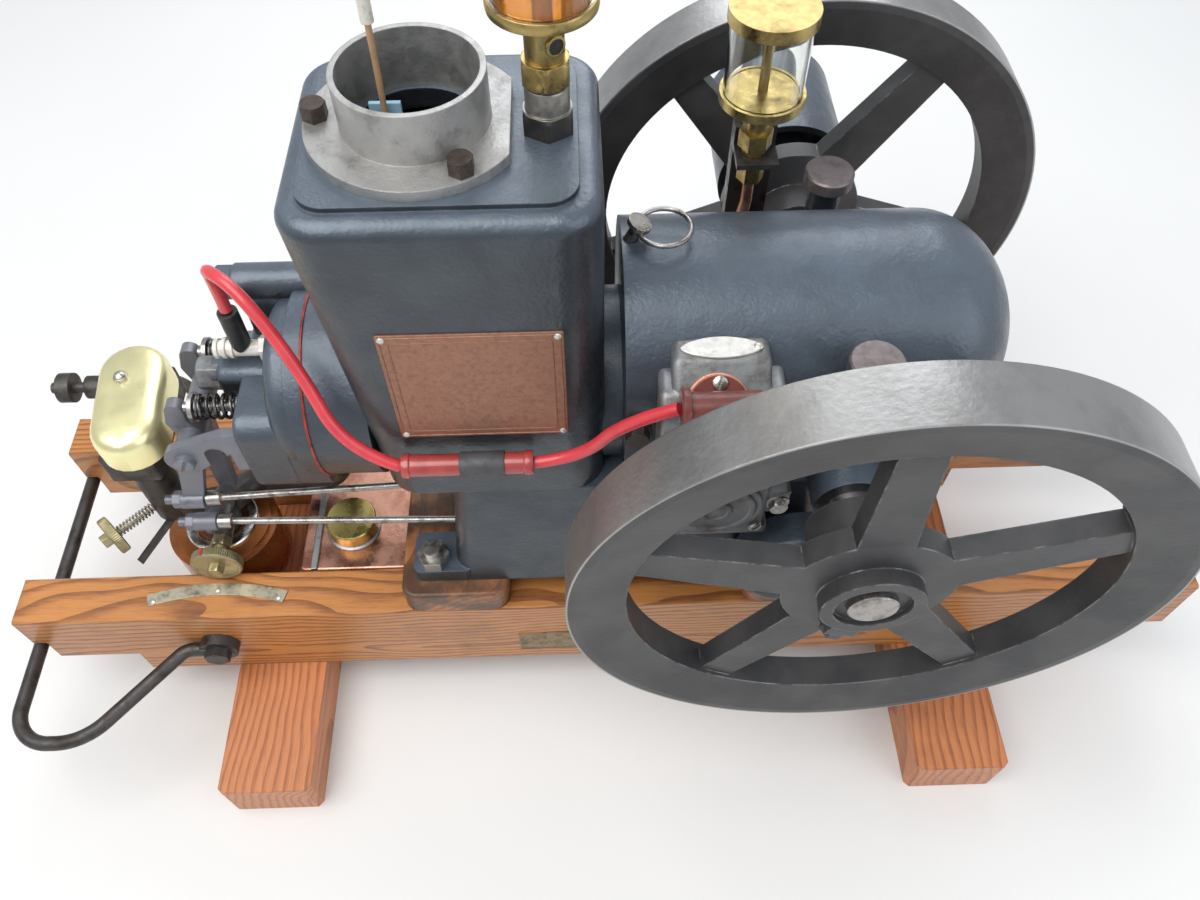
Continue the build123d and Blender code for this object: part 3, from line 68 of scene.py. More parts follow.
def inFrame(points):
    # millimetres from the skid's middle to metres in the part's frame
    return np.asarray(points, float) / 1000 + skidMiddle


# Shapes: each gives its points, its quads and the faces that close its ends


def gridShape(grid, wrapRows=False):
    # rows by columns of points become quads round each row, and each open end gets one face
    rows, columns = grid.shape[:2]
    number = np.arange(rows * columns).reshape(rows, columns)
    here = number if wrapRows else number[:-1]
    below = np.roll(number, -1, axis=0) if wrapRows else number[1:]
    beside, belowBeside = np.roll(here, -1, axis=1), np.roll(below, -1, axis=1)
    quads = np.stack([here, beside, belowBeside, below], axis=-1).reshape(-1, 4)
    ends = [] if wrapRows else [number[0, ::-1], number[-1]]
    return grid.reshape(-1, 3), quads, ends


def unit(vector):
    vector = np.asarray(vector, float)
    return vector / np.linalg.norm(vector)


def axesAround(direction):
    # the direction and two unit vectors square to it, right-handed
    way = unit(direction)
    helper = toTop if abs(way[2]) < 0.9 else toRight
    across = unit(np.cross(helper, way))
    return way, across, np.cross(way, across)


knurlDepth = 0.22


def turned(start, direction, profile, segments=48, halfFlats=0.0, ridges=0, ring=False):
    # point = start + way * distance + radius * (cos(turn) * across + sin(turn) * up), for each
    # (radius, distance) of the profile; flats cut the radius to a hexagon's; ridges add
    # depth * cos(ridges * turn) where the profile's third number is 1; a ring's profile closes
    way, across, up = axesAround(direction)
    profile = np.asarray(profile, float)
    turn = np.arange(segments) * 2 * math.pi / segments
    radius = np.repeat(profile[:, :1], segments, axis=1)
    if halfFlats:
        wedge = math.pi / 6
        radius = np.minimum(radius, halfFlats / np.cos(turn % (2 * wedge) - wedge))
    if ridges:
        radius = radius + profile[:, 2:3] * knurlDepth * np.cos(ridges * turn)
    circle = np.cos(turn)[:, None] * across + np.sin(turn)[:, None] * up
    grid = np.asarray(start, float) + profile[:, None, 1:2] * way + radius[..., None] * circle
    return gridShape(grid, wrapRows=ring)


# Shares of a bolt head's corner radius, and of its height where the bevel begins
boltHead = {"flats": 0.866, "rim": 0.87, "top": 0.4, "bevelFrom": 0.8, "washer": (1.22, 1.25, 1.15)}


def hexHead(start, direction, corner, height, washer=0.0):
    # a turned profile cut to a hexagon, its top corners bevelled by a cone, on a round washer
    top = washer + height
    profile = [
        (corner, washer),
        (corner, washer + height * boltHead["bevelFrom"]),
        (corner * boltHead["rim"], top),
        (corner * boltHead["top"], top),
    ]
    shapes = [turned(start, direction, profile, halfFlats=corner * boltHead["flats"])]
    if washer:
        foot, middle, edge = boltHead["washer"]
        ring = [(corner * foot, 0), (corner * middle, washer * 0.6), (corner * edge, washer)]
        shapes.append(turned(start, direction, ring))
    return shapes


# Shares of a screw head's radius and height: its thin base, its half slot and its dome's rings
screwHead = {"base": 0.45, "halfSlot": 0.14, "dome": ((1.0, 0.45), (0.97, 0.75), (0.7, 1.0))}


def slottedHead(start, direction, radius, height, slotTurn):
    # a base and two half domes; each ring of a dome is radius * (cos, sin) of a half turn,
    # held away from the middle by half the slot
    way, across, up = axesAround(direction)
    halfSlot = radius * screwHead["halfSlot"]
    base = [(radius, 0), (radius, height * screwHead["base"])]
    shapes = [turned(start, direction, base, segments=32)]
    along = math.cos(slotTurn) * across + math.sin(slotTurn) * up
    aside = np.cross(way, along)
    opening = math.asin(screwHead["halfSlot"])
    sweep = np.linspace(opening, math.pi - opening, 14)
    for side in (1, -1):
        rows = []
        for share, level in screwHead["dome"]:
            alongSlot = radius * share * np.cos(sweep)
            offSlot = np.maximum(radius * share * np.sin(sweep), halfSlot)
            outline = alongSlot[:, None] * along + offSlot[:, None] * aside
            rows.append(np.asarray(start, float) + way * height * level + side * outline)
        shapes.append(gridShape(np.array(rows)))
    return shapes


def roundedOutline(halfWide, halfTall, corner, perCorner=7):
    # four quarter circles, each round its own corner's middle, anticlockwise
    corner = min(corner, halfWide, halfTall)
    quarter = np.linspace(0, math.pi / 2, perCorner)
    points = []
    for count, (sideX, sideY) in enumerate(((1, 1), (-1, 1), (-1, -1), (1, -1))):
        angle = quarter + count * math.pi / 2
        middle = np.array([sideX * (halfWide - corner), sideY * (halfTall - corner)])
        points.append(middle + corner * np.stack([np.cos(angle), np.sin(angle)], axis=1))
    return np.concatenate(points)


def plate(middle, half, corner, rows, across=toRight, up=toTop):
    # rings of one rounded outline, each set in by its own inset at its own height
    across, up = unit(across), unit(up)
    normal = np.cross(across, up)
    grid = []
    for inset, height in rows:
        outline = roundedOutline(half[0] - inset, half[1] - inset, max(corner - inset, 0.3))
        flat = outline[:, :1] * across + outline[:, 1:] * up
        grid.append(np.asarray(middle, float) + flat + height * normal)
    return gridShape(np.array(grid))


def tubeAlong(path, radius, segments=12, closed=False):
    # a circle carried along a path; its upright is carried from point to point without twist
    path = np.asarray(path, float)
    ahead = np.roll(path, -1, axis=0) - np.roll(path, 1, axis=0)
    if not closed:
        ahead[0], ahead[-1] = path[1] - path[0], path[-1] - path[-2]
    ahead /= np.linalg.norm(ahead, axis=1)[:, None]
    side = axesAround(ahead[0])[1]
    sides = []
    for way in ahead:
        side = unit(side - way * np.dot(side, way))
        sides.append(side)
    sides = np.array(sides)
    ups = np.cross(ahead, sides)
    turn = np.arange(segments) * 2 * math.pi / segments
    circle = np.cos(turn)[None, :, None] * sides[:, None] + np.sin(turn)[None, :, None] * ups[:, None]
    return gridShape(path[:, None] + radius * circle, wrapRows=closed)


def softened(points, reach, steps=5):
    # each corner P between A and B becomes the curve (1-t)^2 A + 2 t (1-t) P + t^2 B
    points = np.asarray(points, float)
    back = np.roll(points, 1, axis=0) - points
    ahead = np.roll(points, -1, axis=0) - points
    start = points + back * (reach / np.linalg.norm(back, axis=1))[:, None]
    end = points + ahead * (reach / np.linalg.norm(ahead, axis=1))[:, None]
    t = np.linspace(0, 1, steps)[None, :, None]
    curve = (1 - t) ** 2 * start[:, None] + 2 * t * (1 - t) * points[:, None] + t**2 * end[:, None]
    return curve.reshape(-1, 2)


def profiledBlock(profile, left, right, rounding):
    # a closed outline of (y, z) carried along X; at both ends it shrinks by a quarter circle
    middle = (profile.min(axis=0) + profile.max(axis=0)) / 2
    half = (profile.max(axis=0) - profile.min(axis=0)) / 2
    angle = np.linspace(0, math.pi / 2, 7)
    leftEnd = left + rounding * (1 - np.cos(angle))
    rightEnd = right - rounding * (1 - np.cos(angle[::-1]))
    inset = rounding * (1 - np.sin(np.concatenate([angle, angle[::-1]])))
    flat = middle + (profile[None] - middle) * (1 - inset[:, None, None] / half)
    place = np.concatenate([leftEnd, rightEnd])[:, None, None]
    return gridShape(np.concatenate([np.broadcast_to(place, flat.shape[:2] + (1,)), flat], axis=2))


# A flat bar's section, in shares of its half width and its thickness
barSection = np.array([(1, 0), (1, 0.7), (0.96, 1), (-0.96, 1), (-1, 0.7), (-1, 0)])


def ribbon(path, sideways, halfWide, thick):
    # the bar's section carried along a path, with the sideways vectors in its face
    path, sideways = np.asarray(path, float), np.asarray(sideways, float)
    ahead = np.gradient(path, axis=0)
    ahead /= np.linalg.norm(ahead, axis=1)[:, None]
    upward = np.cross(ahead, sideways)
    wide = barSection[None, :, :1] * halfWide * sideways[:, None]
    tall = barSection[None, :, 1:] * thick * upward[:, None]
    return gridShape(path[:, None] + wide + tall)


def helixPath(start, direction, radius, length, turns, perTurn=20):
    # point = start + way * share * length + radius * (cos(turn) * across + sin(turn) * up)
    way, across, up = axesAround(direction)
    share = np.linspace(0, 1, int(turns * perTurn) + 1)
    turn = share * turns * 2 * math.pi
    circle = np.cos(turn)[:, None] * across + np.sin(turn)[:, None] * up
    return np.asarray(start, float) + share[:, None] * length * way + radius * circle


def addPiece(name, shapes, slotName, finish=None, body="engine", smooth=32):
    # the shapes become one mesh, at the origin, which rides on a body; its finish is the
    # slot's own unless another is named
    points, faces, count = [], [], 0
    for shapePoints, quads, ends in shapes:
        points.append(shapePoints)
        faces += (quads + count).tolist() + [(end + count).tolist() for end in ends]
        count += len(shapePoints)
    mesh = bpy.data.meshes.new(name)
    mesh.from_pydata(inFrame(np.concatenate(points)).tolist(), [], faces)
    mesh.validate()
    outward = bmesh.new()
    outward.from_mesh(mesh)
    bmesh.ops.recalc_face_normals(outward, faces=outward.faces)
    outward.to_mesh(mesh)
    outward.free()
    mesh.polygons.foreach_set("use_smooth", np.ones(len(mesh.polygons), bool))
    mesh.set_sharp_from_angle(angle=math.radians(smooth))
    mesh.materials.append(materials[finish or slotName])
    piece = bpy.data.objects.new(name, mesh)
    bpy.context.scene.collection.objects.link(piece)
    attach(piece, body)
    return piece


# Materials, all on Object coordinates


class Finish:
    # a material while it is made: adds nodes, joins their sockets, ends at the surface shader
    def __init__(self, name):
        self.material = bpy.data.materials.new(name)
        self.material.use_nodes = True
        self.tree = self.material.node_tree
        self.shader = self.tree.nodes["Principled BSDF"]
        self.place = self.add("TexCoord").outputs["Object"]

    def add(self, kind, settings=None, **inputs):
        node = self.tree.nodes.new("ShaderNode" + kind)
        for key, value in (settings or {}).items():
            setattr(node, key, value)
        for key, value in inputs.items():
            self.join(node.inputs[key.replace("_", " ")], value)
        return node

    def join(self, socket, value):
        if isinstance(value, bpy.types.NodeSocket):
            self.tree.links.new(value, socket)
        else:
            socket.default_value = value

    def surface(self, colour, rough, **fixed):
        # colour and roughness may be patterns; the rest are plain values on the shader itself
        self.join(self.shader.inputs["Base Color"], colour)
        self.join(self.shader.inputs["Roughness"], rough)
        for key, value in fixed.items():
            self.shader.inputs[key.replace("_", " ")].default_value = value

    def vectors(self, operation, *values):
        made = self.add("VectorMath", {"operation": operation})
        for socket, value in zip(made.inputs, values):
            self.join(socket, value)
        return made

    def stretched(self, scale=(1, 1, 1), middle=(0, 0, 0)):
        moved = self.vectors("SUBTRACT", self.place, middle).outputs[0]
        return self.vectors("MULTIPLY", moved, scale).outputs[0]

    def noise(self, scale, detail=4.0, roughness=0.55, distortion=0.0, vector=None):
        where = self.place if vector is None else vector
        settings = {"Scale": scale, "Detail": detail, "Roughness": roughness, "Distortion": distortion}
        return self.add("TexNoise", Vector=where, **settings).outputs["Fac"]

    def ramp(self, value, low, high, start=0.0, end=1.0):
        made = self.add("MapRange", {"interpolation_type": "SMOOTHSTEP"}, Value=value)
        for socket, number in zip(("From Min", "From Max", "To Min", "To Max"), (low, high, start, end)):
            made.inputs[socket].default_value = number
        return made.outputs[0]

    def patches(self, noise, levels, values=(0.0, 1.0)):
        # noise (scale, detail, roughness) from the first value below the levels to the second above
        return self.ramp(self.noise(*noise), *levels, *values)

    def sum(self, operation, first, second=0.0):
        made = self.add("Math", {"operation": operation})
        self.join(made.inputs[0], first)
        self.join(made.inputs[1], second)
        return made.outputs[0]

    def mix(self, share, first, second):
        made = self.add("Mix", {"data_type": "RGBA"})
        self.join(made.inputs[0], share)
        for socket, colour in ((made.inputs[6], first), (made.inputs[7], second)):
            self.join(socket, colour if isinstance(colour, bpy.types.NodeSocket) else (*colour, 1.0))
        return made.outputs[2]

    def edges(self, radius):
        # how far a rounded normal turns from the flat one: near 1 along sharp edges
        rounded = self.add("Bevel", {"samples": 4}, Radius=radius).outputs[0]
        flat = self.add("NewGeometry").outputs["Normal"]
        agree = self.vectors("DOT_PRODUCT", rounded, flat).outputs["Value"]
        return self.ramp(self.sum("SUBTRACT", 1.0, agree), 0.02, 0.25)

    def bumps(self, *layers, edge):
        # each layer is (height, depth in metres), laid on a normal that is rounded at edges
        normal = self.add("Bevel", {"samples": 4}, Radius=edge).outputs[0]
        for height, depth in layers:
            made = self.add("Bump", Height=height, Distance=depth, Strength=1.0, Normal=normal)
            normal = made.outputs[0]
        self.join(self.shader.inputs["Normal"], normal)


# Patches of the cast paint: noise, the levels it is cut between, the values it gives
castPattern = {
    "cloud": ((18.0, 5.0, 0.6), (0.35, 0.7)),
    "stain": ((9.0, 6.0, 0.65, 0.6), (0.56, 0.72), (0.0, 0.4)),
    "fleck": ((330.0, 2.0, 0.6), (0.66, 0.74), (0.0, 0.1375)),
    "rub": ((60.0, 4.0, 0.7), (0.48, 0.66), (0.0, 0.8)),
    # painted sheen: upward faces made lighter and bluer, a painted reflection of the sky
    "upSheen": ((26.0, 5.0, 0.65), (0.25, 0.75), (0.65, 1.0)),
    "shine": ((40.0, 4.0, 0.6), (0.3, 0.75), (0.3, 0.52)),
    "facing": (0.05, 0.95, 0.0, 0.85),
    "wornEdge": 0.0022,
    "roundedEdge": 0.0012,
    "dents": ((70.0, 3.0, 0.5), 0.0009),
    "skin": ((420.0, 3.0, 0.55), 0.00038),
}
castGloss = {
    "Specular_IOR_Level": 0.85,
    "Specular_Tint": (0.74, 0.87, 1.0, 1.0),
    "Coat_Weight": 0.3,
    "Coat_Roughness": 0.26,
}


def castPaint(name, dark, light, oily, worn, sheenColour):
    # black paint on a rough casting: a fine skin, larger dents, oily stains, bare edges,
    # and a painted blue-grey sheen on all that faces up, which stands for the sky's reflection
    look = Finish(name)
    colour = look.mix(look.patches(*castPattern["cloud"]), dark, light)
    colour = look.mix(look.patches(*castPattern["stain"]), colour, oily)
    rub = look.sum("MULTIPLY", look.edges(castPattern["wornEdge"]), look.patches(*castPattern["rub"]))
    colour = look.mix(look.sum("MAXIMUM", rub, look.patches(*castPattern["fleck"])), colour, worn)
    # painted sheen: faces that point up are mixed towards a light blue-grey, a painted reflection of the
    # sky
    facing = look.add("SeparateXYZ", Vector=look.add("NewGeometry").outputs["Normal"]).outputs["Z"]
    facingUp = look.ramp(facing, *castPattern["facing"])
    upSheen = look.sum("MULTIPLY", facingUp, look.patches(*castPattern["upSheen"]))
    look.surface(look.mix(upSheen, colour, sheenColour), look.patches(*castPattern["shine"]), **castGloss)
    layers = [(look.noise(*castPattern[layer][0]), castPattern[layer][1]) for layer in ("dents", "skin")]
    look.bumps(*layers, edge=castPattern["roundedEdge"])
    return look.material


# How much finer than its patches a metal's rust, shine and grain are
metalPattern = {"rust": 2.3, "shine": 1.6, "grain": 9, "rustColour": (0.12, 0.045, 0.02)}


def bareMetal(
    name, clean, dirty, rough=(0.25, 0.5), metal=1.0, scale=90.0, dirt=(0.5, 0.7), rust=0.0,
    grain=0.00008, edge=0.0005,
):
    # bare metal: clean and dirty patches, a few rust specks and a fine grain
    look = Finish(name)
    colour = look.mix(look.patches((scale, 5.0, 0.65), dirt), clean, dirty)
    if rust:
        speck = look.patches((scale * metalPattern["rust"], 4.0, 0.7), (0.6, 0.7), (0.0, rust))
        colour = look.mix(speck, colour, metalPattern["rustColour"])
    shine = look.patches((scale * metalPattern["shine"], 3.0, 0.6), (0.3, 0.7), rough)
    look.surface(colour, shine, Metallic=metal)
    look.bumps((look.noise(scale * metalPattern["grain"], 3.0, 0.6), grain), edge=edge)
    return look.material


# Patterns drawn out along the timber: how fine across it, how fine along it; the rest as above
woodPattern = {
    "pores": (60.0, 5.5),
    "wander": (9.0, 5.0),
    "rings": (1.0, 0.035),
    "drift": 0.054,
    "poreNoise": (9.0, 5.0, 0.7),
    "poreShade": (0.35, 0.75, 0.0, 0.4),
    "poreShine": (0.3, 0.8, 0.34, 0.55),
    "ringShade": 0.62,
    "deeper": {"blotch": 0.55, "handled": 0.6},  # shares of the dark colour
    "depths": (0.0004, 0.00015),  # pores, rings
    "blotch": ((14.0, 4.0, 0.6), (0.5, 0.75), (0.0, 0.35)),
    "handled": ((55.0, 4.0, 0.7), (0.4, 0.6), (0.0, 0.6)),
    "handledEdge": 0.003,
    "roundedEdge": 0.0016,
    "lateWood": (0.35, 0.97),
}


def sawnWood(name, pale, dark, along, heart, ringGap, seed, varnish=0.35, oil=None):
    # growth rings are cylinders round a wandering line along the timber, so a cut near it
    # shows arches; fine pores are noise drawn out along the grain
    look = Finish(name)

    def drawnOut(kind):
        across, lengthwise = woodPattern[kind]
        return tuple(lengthwise if axis == along else across for axis in range(3))

    place = look.stretched(drawnOut("wander"), (seed, seed * 2, 0))
    drift = look.add("TexNoise", Vector=place, Scale=1.0, Detail=2.0, Roughness=0.45)
    fromHeart = look.stretched((1, 1, 1), heart)
    reach = (woodPattern["drift"],) * 3
    pushed = look.vectors("MULTIPLY_ADD", drift.outputs["Color"], reach, fromHeart).outputs[0]
    flat = look.vectors("MULTIPLY", pushed, drawnOut("rings")).outputs[0]
    away = look.vectors("LENGTH", flat).outputs["Value"]
    ring = look.sum("FRACT", look.sum("DIVIDE", away, ringGap / 1000))
    late = look.ramp(ring, *woodPattern["lateWood"])
    pores = look.noise(*woodPattern["poreNoise"], vector=look.stretched(drawnOut("pores")))
    dusk = look.ramp(pores, *woodPattern["poreShade"])
    ringShade = look.sum("MULTIPLY", late, woodPattern["ringShade"])
    shade = look.sum("ADD", ringShade, dusk)
    colour = look.mix(look.ramp(shade, 0.0, 1.0), pale, dark)
    marks = {"blotch": look.patches(*woodPattern["blotch"])}
    edges = look.edges(woodPattern["handledEdge"])
    marks["handled"] = look.sum("MULTIPLY", edges, look.patches(*woodPattern["handled"]))
    for mark, share in woodPattern["deeper"].items():
        colour = look.mix(marks[mark], colour, tuple(share * part for part in dark))
    if oil:
        colour = look.mix(look.patches((oil["scale"], 4.0, 0.6), (0.35, 0.6)), colour, oil["colour"])
    shine = look.ramp(pores, *woodPattern["poreShine"])
    look.surface(colour, shine, Coat_Weight=varnish, Coat_Roughness=0.22)
    look.bumps(*zip((pores, late), woodPattern["depths"]), edge=woodPattern["roundedEdge"])
    return look.material


wheelPattern = {
    "paint": ((24.0, 5.0, 0.6), (0.35, 0.7)),
    "steel": ((30.0, 5.0, 0.65), (0.4, 0.72)),
    "rub": ((80.0, 4.0, 0.7), (0.42, 0.62), (0.0, 0.9)),
    "wornEdge": 0.0018,
    "roundedEdge": 0.0012,
    "turnedSkin": (0.0016, 0.0006),  # below the rim's radius: where the bright steel begins, and is full
    "toolLines": (0.01, 1, 0.01),  # fine across the rim, long round it
    "lineNoise": (900.0, 2.0, 0.5),
    "skinNoise": (300.0, 3.0, 0.5),
    "depths": (0.00002, 0.00016),  # tool lines, skin
    "shine": (0.0, 1.0, 0.45, 0.33),  # from paint to bright steel
}


def wheelPaint(name, middle, rimRadius, paints, steels):
    # the rim's turned outside is bright with fine tool lines; all inside that radius is painted
    look = Finish(name)
    apart = look.add("SeparateXYZ", Vector=look.stretched((1, 1, 1), middle))
    squares = [look.sum("POWER", apart.outputs[axis], 2.0) for axis in ("X", "Z")]
    radius = look.sum("SQRT", look.sum("ADD", *squares))
    begins, full = wheelPattern["turnedSkin"]
    bright = look.ramp(radius, rimRadius - begins, rimRadius - full)
    edges = look.edges(wheelPattern["wornEdge"])
    rub = look.sum("MULTIPLY", edges, look.patches(*wheelPattern["rub"]))
    paint = look.mix(look.patches(*wheelPattern["paint"]), *paints)
    steel = look.mix(look.patches(*wheelPattern["steel"]), *steels)
    shown = look.sum("MAXIMUM", bright, rub)
    look.surface(look.mix(shown, paint, steel), look.ramp(shown, *wheelPattern["shine"]))
    look.join(look.shader.inputs["Metallic"], look.sum("MULTIPLY", shown, 0.9))
    lined = look.stretched(wheelPattern["toolLines"])
    lines = look.noise(*wheelPattern["lineNoise"], vector=lined)
    skin = look.noise(*wheelPattern["skinNoise"])
    look.bumps(*zip((lines, skin), wheelPattern["depths"]), edge=wheelPattern["roundedEdge"])
    return look.material


glassPattern = {"streak": ((70.0, 4.0, 0.6), (0.5, 0.75)), "shine": (0.0, 1.0, 0.02, 0.12)}
# How strongly each bends the light
glassBends = {"glass": 1.46, "oil": 1.45}


def clearGlass(name, clear, misted):
    # clear glass with misted streaks, which shine less
    look = Finish(name)
    streak = look.patches(*glassPattern["streak"])
    shine = look.ramp(streak, *glassPattern["shine"])
    colour = look.mix(streak, clear, misted)
    look.surface(colour, shine, Transmission_Weight=1.0, IOR=glassBends["glass"])
    return look.material


def amberOil(name, pale, deep):
    # oil in a glass: half clear, its shade in slow clouds
    look = Finish(name)
    colour = look.mix(look.noise(60.0), pale, deep)
    look.surface(colour, 0.05, Transmission_Weight=0.6, IOR=glassBends["oil"])
    return look.material


def softGloss(name, first, second, rough, scale, coat=0.0, grain=0.00005, metal=0.0):
    # a moulded or rubbed surface: two close shades in soft patches and a light grain
    look = Finish(name)
    colour = look.mix(look.patches((scale, 5.0, 0.6), (0.35, 0.7)), first, second)
    shine = look.patches((scale * 2, 3.0, 0.6), (0.3, 0.7), (rough * 0.8, rough * 1.3))
    look.surface(colour, shine, Coat_Weight=coat, Coat_Roughness=0.1, Metallic=metal)
    look.bumps((look.noise(scale * 8, 3.0, 0.6), grain), edge=0.0005)
    return look.material


heightPattern = {
    "blend": 0.0006,  # half the band in which one colour becomes the other
    "stain": ((110.0, 4.0, 0.65), (0.5, 0.75), (0.0, 0.55)),
    "stained": (0.07, 0.055, 0.04),
    "grain": ((700.0, 3.0, 0.6), 0.00008),
    "roundedEdge": 0.0006,
}


def twoHeights(name, lower, upper, level, rough, metal):
    # one colour below a level and another above it, with brown patches in both
    look = Finish(name)
    height = look.add("SeparateXYZ", Vector=look.place).outputs["Z"]
    blend = heightPattern["blend"]
    colour = look.mix(look.ramp(height, level - blend, level + blend), lower, upper)
    stain = look.patches(*heightPattern["stain"])
    shine = look.ramp(stain, 0.0, 0.5, rough * 0.8, rough * 1.2)
    look.surface(look.mix(stain, colour, heightPattern["stained"]), shine, Metallic=metal)
    grain, depth = heightPattern["grain"]
    look.bumps((look.noise(*grain), depth), edge=heightPattern["roundedEdge"])
    return look.material


wheelLow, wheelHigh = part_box("near_flywheel")
wheelMiddle = ((wheelLow.x + wheelHigh.x) / 2, 0.0, (wheelLow.z + wheelHigh.z) / 2)
wheelRadius = (wheelHigh.x - wheelLow.x) / 2
